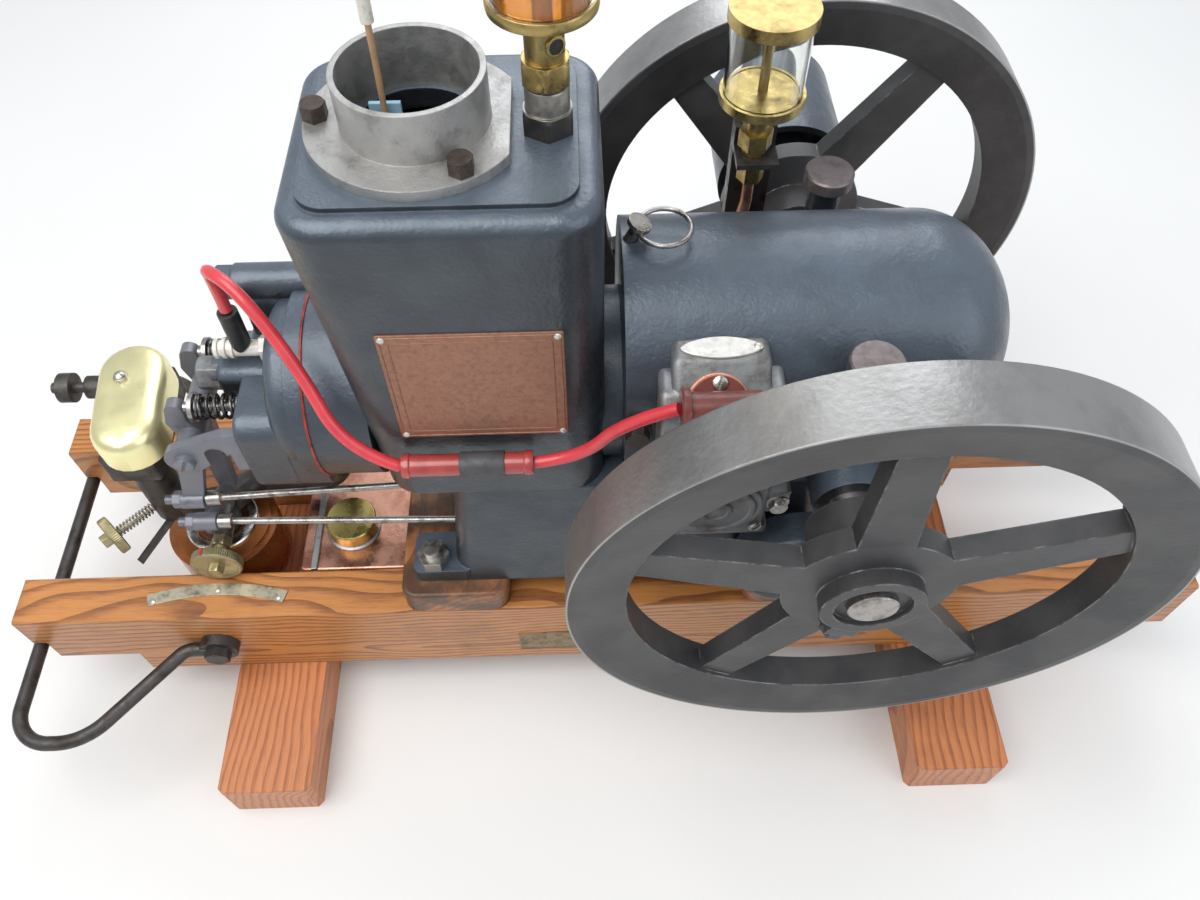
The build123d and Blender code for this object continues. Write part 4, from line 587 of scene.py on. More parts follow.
# The record's slots: a clean and a dirty colour for each metal, a pale and a dark one for each wood
materials = {
    "rail_wood": sawnWood(
        "varnished rail", (0.53, 0.215, 0.055), (0.21, 0.068, 0.018),
        along=0, heart=(0.0, skidY - 0.078, 0.1), ringGap=5.5, seed=3.1,
    ),
    "timber_wood": sawnWood(
        "cross timber", (0.58, 0.22, 0.085), (0.33, 0.105, 0.038),
        along=1, heart=(0.0, 0.0, -0.03), ringGap=6.5, seed=7.7, varnish=0.12,
    ),
    "bearer_wood": sawnWood(
        "oily bearer", (0.42, 0.165, 0.06), (0.19, 0.066, 0.024),
        along=1, heart=(0.0, 0.0, 0.02), ringGap=6.0, seed=5.3, varnish=0.2,
        oil={"colour": (0.09, 0.042, 0.02), "scale": 24.0},
    ),
    "dark_steel": bareMetal(
        "dark steel", (0.085, 0.08, 0.078), (0.045, 0.036, 0.03),
        rough=(0.35, 0.6), metal=0.75, scale=70.0, dirt=(0.45, 0.7), rust=0.5, grain=0.00015,
    ),
    "bare_steel": bareMetal(
        "bare steel", (0.42, 0.4, 0.38), (0.13, 0.11, 0.095),
        rough=(0.24, 0.46), metal=0.95, scale=110.0, dirt=(0.45, 0.75), rust=0.25,
    ),
    "grey_steel": bareMetal(
        "grey valve gear", (0.19, 0.195, 0.225), (0.085, 0.085, 0.098),
        rough=(0.32, 0.46), metal=0.35, scale=60.0, dirt=(0.55, 0.85), rust=0.06, edge=0.0012,
    ),
    # its last colour is a painted blue-grey sheen, the sky's reflection laid on upward faces
    "black_paint": castPaint(
        "black casting", dark=(0.0095, 0.011, 0.0135), light=(0.023, 0.0265, 0.032),
        oily=(0.026, 0.021, 0.019), worn=(0.13, 0.11, 0.1), sheenColour=(0.085, 0.108, 0.14),
    ),
    "flywheel_paint": wheelPaint(
        "flywheel", wheelMiddle, wheelRadius,
        paints=((0.035, 0.035, 0.037), (0.062, 0.061, 0.062)),
        steels=((0.43, 0.425, 0.415), (0.34, 0.33, 0.32)),
    ),
    "dull_aluminium": bareMetal(
        "dull aluminium", (0.41, 0.405, 0.395), (0.2, 0.19, 0.17), rough=(0.36, 0.58),
        metal=0.75, scale=60.0, dirt=(0.5, 0.82), rust=0.16, grain=0.00022, edge=0.0009,
    ),
    "blue_plastic": softGloss("pale blue clip", (0.3, 0.5, 0.62), (0.22, 0.4, 0.52), 0.5, 120.0),
    "white_ceramic": softGloss(
        "plug insulator", (0.8, 0.78, 0.72), (0.62, 0.58, 0.5), 0.22, 160.0, coat=0.4
    ),
    "black_rubber": softGloss(
        "taped boot", (0.012, 0.012, 0.013), (0.03, 0.03, 0.03), 0.42, 150.0, grain=0.0002
    ),
    "bright_brass": bareMetal(
        "bright brass", (0.95, 0.89, 0.5), (0.8, 0.7, 0.32), rough=(0.26, 0.42),
        metal=0.88, scale=24.0, dirt=(0.6, 0.95), grain=0.000006, edge=0.0008,
    ),
    "dull_brass": bareMetal(
        "dull brass", (0.4, 0.35, 0.2), (0.17, 0.14, 0.085),
        rough=(0.3, 0.5), metal=0.85, dirt=(0.45, 0.75), grain=0.0001,
    ),
    "oiler_brass": bareMetal(
        "oiler brass", (0.46, 0.35, 0.14), (0.19, 0.13, 0.055),
        rough=(0.24, 0.46), scale=80.0, dirt=(0.45, 0.78),
    ),
    "copper_tank": bareMetal(
        "copper sheet", (0.68, 0.36, 0.26), (0.36, 0.15, 0.1),
        rough=(0.2, 0.45), metal=0.95, scale=34.0, dirt=(0.42, 0.7), edge=0.001,
    ),
    "brown_bakelite": softGloss(
        "brown bakelite", (0.2, 0.052, 0.042), (0.12, 0.03, 0.024), 0.34, 60.0, coat=0.2
    ),
    "oiler_glass": clearGlass("oiler glass", (0.97, 0.985, 0.975), (0.9, 0.93, 0.9)),
    "red_lead": softGloss(
        "red lead", (0.66, 0.05, 0.065), (0.55, 0.035, 0.045), 0.34, 60.0, coat=0.35
    ),
    "carburettor_metal": bareMetal(
        "dark carburettor", (0.09, 0.085, 0.08), (0.04, 0.035, 0.03), rough=(0.35, 0.6),
        metal=0.6, scale=70.0, dirt=(0.4, 0.7), rust=0.2, grain=0.0002, edge=0.001,
    ),
    "copper_bowl": softGloss(
        "stained copper bowl", (0.46, 0.16, 0.045), (0.2, 0.062, 0.022), 0.24, 36.0,
        coat=0.5, metal=0.55,
    ),
    "brown_wood_rod": twoHeights(
        "gauge rod", (0.42, 0.25, 0.13), (0.62, 0.59, 0.52), level=0.559, rough=0.45, metal=0.0
    ),
    # finishes of the small fittings
    "oilerSteel": twoHeights(
        "hopper oiler steel", (0.085, 0.08, 0.075), (0.3, 0.285, 0.26),
        level=0.5122, rough=0.36, metal=0.85,
    ),
    "oil": amberOil("amber oil", (0.95, 0.36, 0.015), (0.85, 0.26, 0.01)),
    "capSteel": bareMetal(
        "oil well caps", (0.2, 0.17, 0.17), (0.09, 0.07, 0.068),
        rough=(0.32, 0.5), metal=0.7, dirt=(0.45, 0.8), rust=0.15, grain=0.0001,
    ),
    "capBrass": bareMetal(
        "tank cap brass", (0.58, 0.48, 0.17), (0.3, 0.22, 0.07),
        rough=(0.2, 0.38), metal=0.95, scale=60.0, dirt=(0.45, 0.8), grain=0.00003,
    ),
    "darkSpring": bareMetal(
        "oily valve spring", (0.2, 0.2, 0.205), (0.05, 0.047, 0.045),
        rough=(0.2, 0.38), metal=0.95, scale=150.0, dirt=(0.35, 0.65),
    ),
    "namePlate": bareMetal(
        "copper name plate", (0.36, 0.185, 0.125), (0.25, 0.12, 0.082),
        rough=(0.34, 0.52), metal=0.7, scale=300.0, dirt=(0.35, 0.8), grain=0.0001,
    ),
    "trimPlate": bareMetal(
        "small trim plate", (0.5, 0.46, 0.36), (0.24, 0.2, 0.13),
        rough=(0.3, 0.5), metal=0.8, scale=150.0, dirt=(0.45, 0.75),
    ),
    "bronzePlate": bareMetal(
        "dark bronze plate", (0.3, 0.22, 0.13), (0.14, 0.095, 0.055),
        rough=(0.3, 0.5), metal=0.8, scale=150.0, dirt=(0.4, 0.7),
    ),
    "palePlate": bareMetal(
        "pale plate", (0.62, 0.61, 0.58), (0.34, 0.32, 0.29),
        rough=(0.3, 0.45), metal=0.6, scale=140.0, dirt=(0.5, 0.8),
    ),
    "rivet": bareMetal(
        "pale rivet", (0.7, 0.68, 0.62), (0.35, 0.32, 0.28),
        rough=(0.3, 0.45), metal=0.8, scale=200.0, dirt=(0.5, 0.75),
    ),
    "rustyBolt": bareMetal(
        "dark rusty bolt", (0.075, 0.058, 0.048), (0.04, 0.03, 0.026),
        rough=(0.4, 0.6), metal=0.5, scale=160.0, dirt=(0.4, 0.7), rust=0.5, grain=0.0002,
    ),
    "gasket": softGloss("red sealing paste", (0.4, 0.035, 0.02), (0.07, 0.012, 0.01), 0.4, 70.0),
    "springSteel": bareMetal(
        "spring steel", (0.5, 0.48, 0.45), (0.22, 0.19, 0.16),
        rough=(0.22, 0.4), scale=120.0, dirt=(0.5, 0.8),
    ),
    "polished": bareMetal(
        "polished ring", (0.85, 0.84, 0.8), (0.5, 0.48, 0.45), rough=(0.12, 0.3), dirt=(0.55, 0.85)
    ),
    "sleeve": softGloss("red sleeve", (0.4, 0.055, 0.05), (0.3, 0.035, 0.033), 0.26, 60.0, coat=0.5),
    "band": softGloss("grey clip band", (0.075, 0.075, 0.08), (0.05, 0.05, 0.055), 0.5, 90.0),
    "solder": bareMetal(
        "grey solder", (0.4, 0.4, 0.4), (0.2, 0.2, 0.2), rough=(0.35, 0.5), metal=0.8
    ),
    "redDab": softGloss("red paint dab", (0.5, 0.02, 0.03), (0.4, 0.02, 0.025), 0.4, 90.0),
    "magneto": bareMetal(
        "dull magneto casting", (0.27, 0.28, 0.29), (0.12, 0.105, 0.09), rough=(0.34, 0.55),
        metal=0.6, scale=55.0, dirt=(0.4, 0.75), rust=0.14, grain=0.0002, edge=0.0012,
    ),
}
for row in frame["record"]["subparts"]:
    skin = nodes[row["node"]].data
    skin.materials.clear()
    skin.materials.append(materials[row["material_slot"]])
nodes["fuel_cap"].data.materials[0] = materials["capBrass"]
nodes["oil_well_caps"].data.materials[0] = materials["capSteel"]
nodes["oil_pipe"].data.materials[0] = materials["copper_tank"]
print("materials made:", len(materials))

# Brass cover over the carburettor: an oblong cap with round ends and a rolled edge
cover = {
    "middle": (-331.0, 1.0, 262.0),
    "turn": 7.0,
    "half": (24.0, 47.5),
    "crown": [  # inset from the outline, height
        (0.0, 0.0), (0.0, 17.0), (0.5, 20.5), (1.9, 23.6), (4.2, 26.0),
        (7.4, 27.4), (12.0, 28.1), (18.0, 28.5), (23.4, 28.6),
    ],
    "nut": {"start": (-336.2, 12.5, 290.4), "direction": toTop, "corner": 5.2, "height": 3.0},
    "dome": [(4.2, 2.6), (3.8, 4.2), (2.4, 5.5), (0.4, 6.0)],
}
coverTurn = math.radians(cover["turn"])
coverAcross = (math.cos(coverTurn), math.sin(coverTurn), 0)
coverAlong = (-math.sin(coverTurn), math.cos(coverTurn), 0)
coverShape = plate(
    cover["middle"], cover["half"], cover["half"][0], cover["crown"], coverAcross, coverAlong
)
piece = addPiece("brassCover", [coverShape], "bright_brass")
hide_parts("brass_cover")
nutShapes = hexHead(**cover["nut"])
nutShapes.append(turned(cover["nut"]["start"], toTop, cover["dome"]))
addPiece("coverNut", nutShapes, "bare_steel", "springSteel")

# Exhaust: a passage up from the chest into a round boss with a six-sided open end
exhaust = {
    "root": (-190.0, 37.0, 356.0),
    "boss": [(12.5, 0), (12.5, 50.5), (11.3, 52)],
    "mouth": [(11.6, 52), (11.6, 61.8), (10.6, 63), (8.2, 63), (7.8, 62.4), (7.8, 56), (0.5, 56)],
    "halfFlats": 10.2,
    "passage": {
        "middle": (-192, 37.0, 328),
        "half": (13, 28),
        "corner": 9,
        "rows": [(0, 0), (0, 42.5), (1.2, 45.4), (4, 47)],
    },
}
exhaustShapes = [
    turned(exhaust["root"], toLeft, exhaust["boss"]),
    turned(exhaust["root"], toLeft, exhaust["mouth"], halfFlats=exhaust["halfFlats"]),
    plate(**exhaust["passage"], across=toFront),
]
piece = addPiece("exhaustPort", exhaustShapes, "dark_steel", "black_paint")
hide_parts("exhaust_stub")

# Valve chest: its box runs back to the joint, with a bulge and a six-sided plug between the springs
chest = {
    "box": {
        "middle": (-190.6, -3, 282),
        "half": (53.0, 36.0),
        "corner": 14,
        "rows": [(0.2, 0), (0.2, 27.35)],
    },
    "bulge": {
        "middle": (-219, 0.5, 305.5),
        "half": (13.8, 15.5),
        "corner": 9,
        "rows": [(0, 0), (0, 35.5), (1.2, 38), (3.6, 39.6)],
    },
    "plug": (-258.4, 1.5, 307),
    "plugHead": [(12.4, 0), (12.4, 13.6), (11.2, 15.0), (0.5, 15.0)],
    "plugFlats": 10.9,
}
chestShapes = [plate(**chest[shape], across=toFront) for shape in ("box", "bulge")]
addPiece("chestCasting", chestShapes, "black_paint")
plugShape = turned(chest["plug"], toLeft, chest["plugHead"], halfFlats=chest["plugFlats"])
addPiece("chestPlug", [plugShape], "grey_steel", "magneto")
print("cover, exhaust and valve chest made")

# Magneto: a casting with a raised crown, sloping brow, round end cover, a lug and a foot
magneto = {
    "body": (26.5, 100.0),  # left and right ends
    "crown": (34.0, 91.0),
    "bottom": 246.0,
    "shoulder": 378.0,
    "top": 392.0,
    "front": -98.0,
    "back": -52.5,
    "brow": (-69.0, 362.0),  # its back edge at the top, its foot on the front
    "rounding": (3.2, 4.0, 5.0),  # along the corners, at the body's ends, at the crown's ends
    "lug": {
        "middle": (106.0, -95.0, 278.0),
        "half": (8.5, 12.5),
        "corner": 4,
        "rows": [(0, -14), (0, -1.5), (0.6, 0), (1.6, 0.6)],
    },
    "foot": {
        "middle": (63.0, -75.0, 246.0),
        "up": toBack,
        "half": (40.0, 24.0),
        "corner": 4,
        "rows": [(0.6, -1.0), (0, 0), (0, 5), (1, 6.2)],
    },
    "cover": (65, -98, 284),
    "coverRings": ((30.0, 5.4), (25.5, 7.0), (11.0, 8.2)),  # radius, rise
    "screws": ((35.5, 313.5), (94.5, 313.5), (35.5, 254.5), (94.5, 254.5)),
    "screw": {"radius": 4.6, "height": 3.2, "slotTurn": 0.9},
    "lugBolt": {"start": (106.5, -95.5, 278), "direction": toFront, "corner": 6.2, "height": 4.5},
}


def magnetoProfile(top):
    # the (y, z) outline below a given top: foot, face, a brow that slopes back, top and back
    browBack, browFoot = magneto["brow"]
    slope = (browBack - magneto["front"]) / (magneto["top"] - browFoot)
    corners = [
        (magneto["back"], magneto["bottom"]),
        (magneto["front"], magneto["bottom"]),
        (magneto["front"], browFoot),
        (browBack - (magneto["top"] - top) * slope, top),
        (magneto["back"], top),
    ]
    return softened(corners, magneto["rounding"][0])


magnetoShapes = [
    profiledBlock(magnetoProfile(magneto["shoulder"]), *magneto["body"], magneto["rounding"][1]),
    profiledBlock(magnetoProfile(magneto["top"]), *magneto["crown"], magneto["rounding"][2]),
    plate(**magneto["lug"]),
    plate(**magneto["foot"]),
]
for radius, rise in magneto["coverRings"]:
    rim = [(radius, -1), (radius, rise - 0.8), (radius - 0.8, rise), (radius - 3.4, rise)]
    dish = [(radius - 4.0, rise - 1.0), (0.5, rise - 1.0)]
    magnetoShapes.append(turned(magneto["cover"], toFront, rim + dish, segments=64))
piece = addPiece("magnetoCasting", magnetoShapes, "dull_aluminium", "magneto")
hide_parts("magneto")
screwShapes = []
for screwX, screwZ in magneto["screws"]:
    screwShapes += slottedHead((screwX, magneto["front"], screwZ), toFront, **magneto["screw"])
screwShapes += hexHead(**magneto["lugBolt"], washer=1.2)
addPiece("magnetoScrews", screwShapes, "bare_steel", "springSteel")

# Terminal on the magneto's brow: a screw, the copper edge of its gasket and the lead's mouth
terminal = {
    "way": (0, -0.719, 0.695),
    "screw": (60.1, -80.8843, 385.0915),
    "head": {"radius": 4.4, "height": 2.8, "slotTurn": 1.35},
    "gasket": (59.5, -87.0, 373.3),
    "gasketRing": [(17.4, -0.2), (18.3, 0.0), (18.3, 0.9), (17.6, 1.2), (16.0, 1.2)],
    "mouth": (42.0, -97.0, 383.0),
    "mouthRing": [(8.2, -0.5), (11.9, 0.0), (12.3, 1.6), (12.3, 3.8), (11.5, 4.8), (8.8, 5.0)],
}
terminalHead = slottedHead(terminal["screw"], terminal["way"], **terminal["head"])
addPiece("terminalScrew", terminalHead, "bare_steel", "springSteel")
gasketShape = turned(terminal["gasket"], terminal["way"], terminal["gasketRing"])
addPiece("terminalGasket", [gasketShape], "copper_tank")
mouthShape = turned(terminal["mouth"], toLeft, terminal["mouthRing"])
addPiece("terminalMouth", [mouthShape], "brown_bakelite")
print("magneto made")

# Bare copper plate on the hopper's front, with two raised lines round it and a rivet a corner
namePlate = {
    "middle": (-77.6, -71.9, 376.2),
    "half": (51.0, 46.4),
    "corner": 1.2,
    "thick": 1.2,
    "lines": ((2.0, 0.5), (6.5, 0.35)),  # inset, radius
    "rivetInset": 3.3,
    "rivet": [(2.3, -0.2), (2.2, 0.5), (1.5, 1.2), (0.3, 1.5)],
}
plateFront = np.add(namePlate["middle"], (0, -namePlate["thick"], 0))
halfWide, halfTall = namePlate["half"]
plateRows = [(0, -0.3), (0, namePlate["thick"] * 0.7), (0.5, namePlate["thick"])]
plateShapes = [plate(namePlate["middle"], namePlate["half"], namePlate["corner"], plateRows)]
for inset, wire in namePlate["lines"]:
    outline = roundedOutline(halfWide - inset, halfTall - inset, 2.0)
    linePath = plateFront + outline[:, :1] * toRight + outline[:, 1:] * toTop
    plateShapes.append(tubeAlong(linePath, wire, 8, closed=True))
addPiece("hopperPlate", plateShapes, "copper_tank", "namePlate")
rivetX, rivetZ = halfWide - namePlate["rivetInset"], halfTall - namePlate["rivetInset"]
rivets = []
for sideX in (-1, 1):
    for sideZ in (-1, 1):
        spot = plateFront + (sideX * rivetX, 0, sideZ * rivetZ)
        rivets.append(turned(spot, toFront, namePlate["rivet"], segments=20))
addPiece("hopperPlateRivets", rivets, "bare_steel", "rivet")

# Bare plates on the front rail: an arc on its top with three screws, a small one on its face
arcPlate = {
    "middle": (-303.0, -73.3, 135.8),
    "radius": 175.0,
    "halfLong": 53.5,
    "halfWide": 5.2,
    "thick": 1.2,
    "screws": ((1, 2.2), (-2, 2.2), (12, 1.0)),  # step along the arc, inset
    "screw": [(2.0, -0.2), (1.9, 0.4), (1.0, 0.9), (0.2, 1.0)],
}
sweep = np.linspace(-1, 1, 25) * arcPlate["halfLong"] / arcPlate["radius"]
arcSide = np.stack([np.sin(sweep), np.cos(sweep), np.zeros_like(sweep)], axis=1)
arcPath = np.subtract(arcPlate["middle"], (0, arcPlate["radius"], 0)) + arcSide * arcPlate["radius"]
arcShape = ribbon(arcPath, arcSide, arcPlate["halfWide"], arcPlate["thick"])
addPiece("railArcPlate", [arcShape], "dull_brass", "trimPlate")
arcScrews = []
for step, inset in arcPlate["screws"]:
    spot = arcPath[step] - arcSide[step] * inset + (0, 0, 1.1)
    arcScrews.append(turned(spot, toTop, arcPlate["screw"], segments=20))
addPiece("railArcPlateScrews", arcScrews, "bare_steel", "rivet")
facePlate = {
    "middle": (-50.8, -96.9, 75.4),
    "half": (23.3, 15.3),
    "corner": 1.0,
    "rows": [(0, -0.3), (0, 0.9), (0.5, 1.2), (1.6, 1.2), (1.9, 0.8)],
}
addPiece("railFacePlate", [plate(**facePlate)], "dull_brass", "bronzePlate")

# Bare plate on the magneto's top: a lens, y = halfTall * sin * |sin|^0.35, pointed at both ends
lensPlate = {
    "middle": (62.5, -61.2, 392.0),
    "half": (24.0, 8.0),
    "point": 0.35,
    "rows": ((1.0, -0.2), (1.0, 0.9), (0.96, 1.3), (0.9, 1.3)),  # share of the outline, height
    "screw": (83.6, -61.2, 393.0),
    "screwHead": [(2.9, -0.4), (2.8, 0.6), (1.9, 1.4), (0.3, 1.7)],
}
lens = np.linspace(0, 2 * math.pi, 48, endpoint=False)
lensX = lensPlate["half"][0] * np.cos(lens)
lensY = lensPlate["half"][1] * np.sin(lens) * np.abs(np.sin(lens)) ** lensPlate["point"]
lensRows = []
for share, level in lensPlate["rows"]:
    outline = np.stack([share * lensX, share * lensY, np.full(48, level)], axis=1)
    lensRows.append(lensPlate["middle"] + outline)
addPiece("magnetoPlate", [gridShape(np.array(lensRows))], "dull_aluminium", "palePlate")
plateScrew = turned(lensPlate["screw"], toTop, lensPlate["screwHead"], segments=24)
addPiece("magnetoPlateScrew", [plateScrew], "bare_steel", "rivet")

# Bolts on the filling collar, one beside the magneto, and the head of the rockers' pin
bolts = {
    "collar": ((-148.8, 2.0, 506), (-72.7, -42.6, 506), (-72.7, 42.6, 506)),
    "collarHead": {"corner": 7.0, "height": 8.5},
    "case": {"start": (15.0, -77.6, 336), "corner": 7.6, "height": 5.5, "washer": 1.6},
    "pin": {"start": (-284, -52.3, 277), "radius": 6.7, "height": 2.6, "slotTurn": 1.15},
}
collarBolts = []
for spot in bolts["collar"]:
    collarBolts += hexHead(spot, toTop, **bolts["collarHead"])
addPiece("collarBolts", collarBolts, "dark_steel", "rustyBolt")
caseBolt = hexHead(direction=toFront, **bolts["case"])
addPiece("caseBolt", caseBolt, "dark_steel", "rustyBolt")
pinHead = slottedHead(direction=toFront, **bolts["pin"])
addPiece("rockerPinHead", pinHead, "grey_steel")
print("plates and bolts added")

# Valve springs: a wire coil whose first and last turns close
spring = {
    "ends": (-271.2, -243.8),
    "anchor": -242.3,
    "radius": 7.6,
    "wire": 1.35,
    "turns": 7,
    "closed": 0.9,  # turns that lie flat at each end
    "side": 24.0,
    "z": 303.0,
    "keep": 0.874,
}
turns = np.linspace(0, 1, 260) * spring["turns"]
rise = np.clip((turns - spring["closed"]) / (spring["turns"] - 2 * spring["closed"]), 0, 1)
coilX = spring["ends"][0] + rise * (spring["ends"][1] - spring["ends"][0])
coilY = spring["radius"] * np.cos(turns * 2 * math.pi)
coilZ = spring["z"] + spring["radius"] * np.sin(turns * 2 * math.pi)
for springName, side in (("near", -spring["side"]), ("far", spring["side"])):
    coil = tubeAlong(np.stack([coilX, side + coilY, coilZ], axis=1), spring["wire"], 10)
    piece = addPiece(f"{springName}Spring", [coil], "bare_steel", "darkSpring", smooth=60)
    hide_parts(f"{springName}_spring")
    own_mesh(piece)
print("valve springs wound")

# Hopper oiler: hexagons and a ring under a neck with a sight hole, a tray, a glass and a cap.
# Its profiles are (radius, height above the ground)
oiler = {
    "spot": (-31.0, -2.0, 0.0),
    "steel": [
        {"profile": [(14.4, 499.6), (14.4, 510.5), (12.8, 512.5), (9, 512.5)], "halfFlats": 12.6},
        {"profile": [(11.2, 511), (11.4, 512.5), (11.4, 524.5), (10.8, 525.5), (9, 525.5)]},
    ],
    "brass": [
        {"profile": [(9.6, 525), (9.6, 527)]},
        {
            "profile": [(11.4, 526.5), (13.2, 528.2), (13.2, 538.0), (11.6, 539.8), (9, 539.8)],
            "halfFlats": 11.6,
        },
        {"profile": [(9.4, 539), (9.8, 541), (9.8, 559), (12.0, 563.5), (14, 566)]},
        {
            "profile": [
                (12, 564.5), (24.6, 565.2), (26.2, 566.2), (26.5, 567.6), (26.5, 570.6),
                (26.0, 571.6), (24.8, 571.8), (24.6, 570.8), (3, 570.8),
            ],
            "segments": 72,
        },
        {"profile": [(3, 570), (3, 607)], "segments": 24},
        {
            "profile": [
                (23, 605.6), (26.0, 605.8), (26.5, 606.8), (26.5, 612.4),
                (25.8, 613.6), (24.6, 614.0), (9, 614.0),
            ],
            "segments": 72,
        },
    ],
    "glass": [
        {
            "profile": [(22.4, 571.0), (24.5, 571.0), (24.5, 605.8), (22.4, 605.8)],
            "segments": 72,
            "ring": True,
        }
    ],
    "oil": [
        {
            "profile": [(3.2, 571.2), (21.9, 571.2), (22.1, 571.8), (22.1, 593.2), (3.2, 593.2)],
            "segments": 64,
        }
    ],
    "sightWay": (0.55, -0.84, 0),
    "sightOut": 9.2,
    "sightHeight": 550.0,
    "sightRim": [(3.9, -1), (5.4, 0.2), (5.2, 1.4), (4.0, 1.6), (3.8, 0.2)],
    "sightHoleShade": [(3.95, -1), (3.95, 0.6), (0.4, 0.9)],
    "bleed": (-31.2, -14.4, 506.5),
    "bleedHole": [(1.6, -0.4), (1.6, 0.3), (0.3, 0.35)],
}
oilerShapes = {}
for part in ("steel", "brass", "glass", "oil"):
    oilerShapes[part] = [turned(oiler["spot"], toTop, **shape) for shape in oiler[part]]
piece = addPiece("hopperOilerSteel", oilerShapes["steel"], "oiler_brass", "oilerSteel")
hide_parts("hopper_oiler")
addPiece("hopperOilerBrass", oilerShapes["brass"], "oiler_brass")
piece = addPiece("hopperOilerGlass", oilerShapes["glass"], "oiler_glass")
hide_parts("hopper_oiler_glass")
addPiece("oilerOil", oilerShapes["oil"], "oiler_glass", "oil")
sight = unit(oiler["sightWay"])
sightSpot = oiler["spot"] + sight * oiler["sightOut"] + (0, 0, oiler["sightHeight"])
sightRim = turned(sightSpot, sight, oiler["sightRim"], segments=32)
addPiece("sightRim", [sightRim], "oiler_brass")
# the sight hole's dark inside is a black disc: painted shade
sightHoleShade = turned(sightSpot, sight, oiler["sightHoleShade"], segments=32)
addPiece("sightHoleShade", [sightHoleShade], "oiler_glass", "black_rubber")
# the bleed hole is a black disc: painted shade standing for its dark inside
bleed = turned(oiler["bleed"], toFront, oiler["bleedHole"], segments=20)
addPiece("bleedHoleShade", [bleed], "oiler_brass", "black_rubber")
print("hopper oiler made")

# Side needle valve: a thin stem in a coil spring, a knurled knob and an end nut; a profile's
# third number says where it is knurled
sideNeedle = {
    "root": (-338.0, -14.0, 180.0),
    "way": (-0.70711, -0.70711, 0.0),
    "spring": {"from": 14.6, "to": 44.0, "radius": 3.7, "wire": 0.8, "turns": 11},
    "stem": [(2.5, 6), (2.5, 56)],
    "knob": [
        (3, 44.2, 0), (14.2, 44.2, 0), (15.2, 45.0, 1), (15.2, 50.6, 1),
        (14.2, 51.4, 0), (12.0, 51.6, 0), (3, 51.2, 0),
    ],
    "ridges": 60,
    "nut": {"along": 51.2, "corner": 5.6, "height": 6.0},
    "stop": ((-339.0, -24.0, 164.5), (-362.5, -54.5, 150.0)),
    "stopSide": (-30.5, 23.5, 0),
    "stopHalfWide": 3.2,
    "stopThick": 1.4,
}
sideRoot, sideWay = np.array(sideNeedle["root"]), np.array(sideNeedle["way"])
wound = sideNeedle["spring"]
springStart = sideRoot + sideWay * wound["from"]
coil = helixPath(springStart, sideWay, wound["radius"], wound["to"] - wound["from"], wound["turns"])
coilShape = tubeAlong(coil, wound["wire"], 8)
addPiece("sideNeedleSpring", [coilShape], "bare_steel", "springSteel", "side_knob", 60)
ridges = sideNeedle["ridges"]
nut = sideNeedle["nut"]
sideShapes = [
    turned(sideRoot, sideWay, sideNeedle["stem"], segments=20),
    turned(sideRoot, sideWay, sideNeedle["knob"], segments=4 * ridges, ridges=ridges),
]
sideShapes += hexHead(sideRoot + sideWay * nut["along"], sideWay, nut["corner"], nut["height"])
piece = addPiece("sideNeedleKnob", sideShapes, "dull_brass", body="side_knob")
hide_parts("side_needle")
strip = np.linspace(*sideNeedle["stop"], 8)
stripSide = np.tile(unit(sideNeedle["stopSide"]), (8, 1))
stopShape = ribbon(strip, stripSide, sideNeedle["stopHalfWide"], sideNeedle["stopThick"])
addPiece("needleStop", [stopShape], "bare_steel", "carburettor_metal")

# Front needle valve: a threaded stem with a gland nut, a larger knurled knob with a red mark
frontNeedle = {
    "root": (-300.0, 0.0, 156.0),
    "stem": [(2.5, 14), (2.5, 60)],
    "thread": {"from": 47.5, "to": 57.0, "pitch": 0.7, "root": 4.3, "crest": 4.9},
    "knob": [
        (3, 56.8, 0), (17.6, 56.8, 0), (18.9, 57.8, 1), (18.9, 63.8, 1),
        (17.8, 64.9, 0), (16.6, 65.0, 0), (15.8, 64.4, 0), (3, 64.4, 0),
    ],
    "ridges": 72,
    "nuts": ((39.5, 8.0, 8.0), (64.2, 6.4, 6.4)),  # along the stem, corner, height
    "markTurn": -20,
    "markOut": 18.9,
    "markAlong": 60.8,
    "markHalf": (3.4, 1.1),
    "markRows": [(0, 0), (0.1, 0.32)],
}
frontRoot, frontWay = np.array(frontNeedle["root"]), np.array(toFront)
thread = frontNeedle["thread"]
threadSteps = np.arange(thread["from"], thread["to"], thread["pitch"])
threadOut = np.where(np.arange(len(threadSteps)) % 2, thread["root"], thread["crest"])
ridges = frontNeedle["ridges"]
frontShapes = [
    turned(frontRoot, toFront, frontNeedle["stem"], segments=20),
    turned(frontRoot, toFront, np.stack([threadOut, threadSteps], axis=1), segments=32),
    turned(frontRoot, toFront, frontNeedle["knob"], segments=4 * ridges, ridges=ridges),
]
for along, corner, height in frontNeedle["nuts"]:
    frontShapes += hexHead(frontRoot + frontWay * along, toFront, corner, height)
piece = addPiece("frontNeedleKnob", frontShapes, "dull_brass", body="front_knob")
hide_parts("front_needle")
markTurn = math.radians(frontNeedle["markTurn"])
markOut = np.array((math.sin(markTurn), 0, math.cos(markTurn)))
markSpot = frontRoot + frontWay * frontNeedle["markAlong"] + markOut * frontNeedle["markOut"]
markUp = np.cross(markOut, toBack)
mark = plate(markSpot, frontNeedle["markHalf"], 0.6, frontNeedle["markRows"], toBack, markUp)
addPiece("frontNeedleMark", [mark], "red_lead", "redDab", "front_knob")
print("needle valves made")

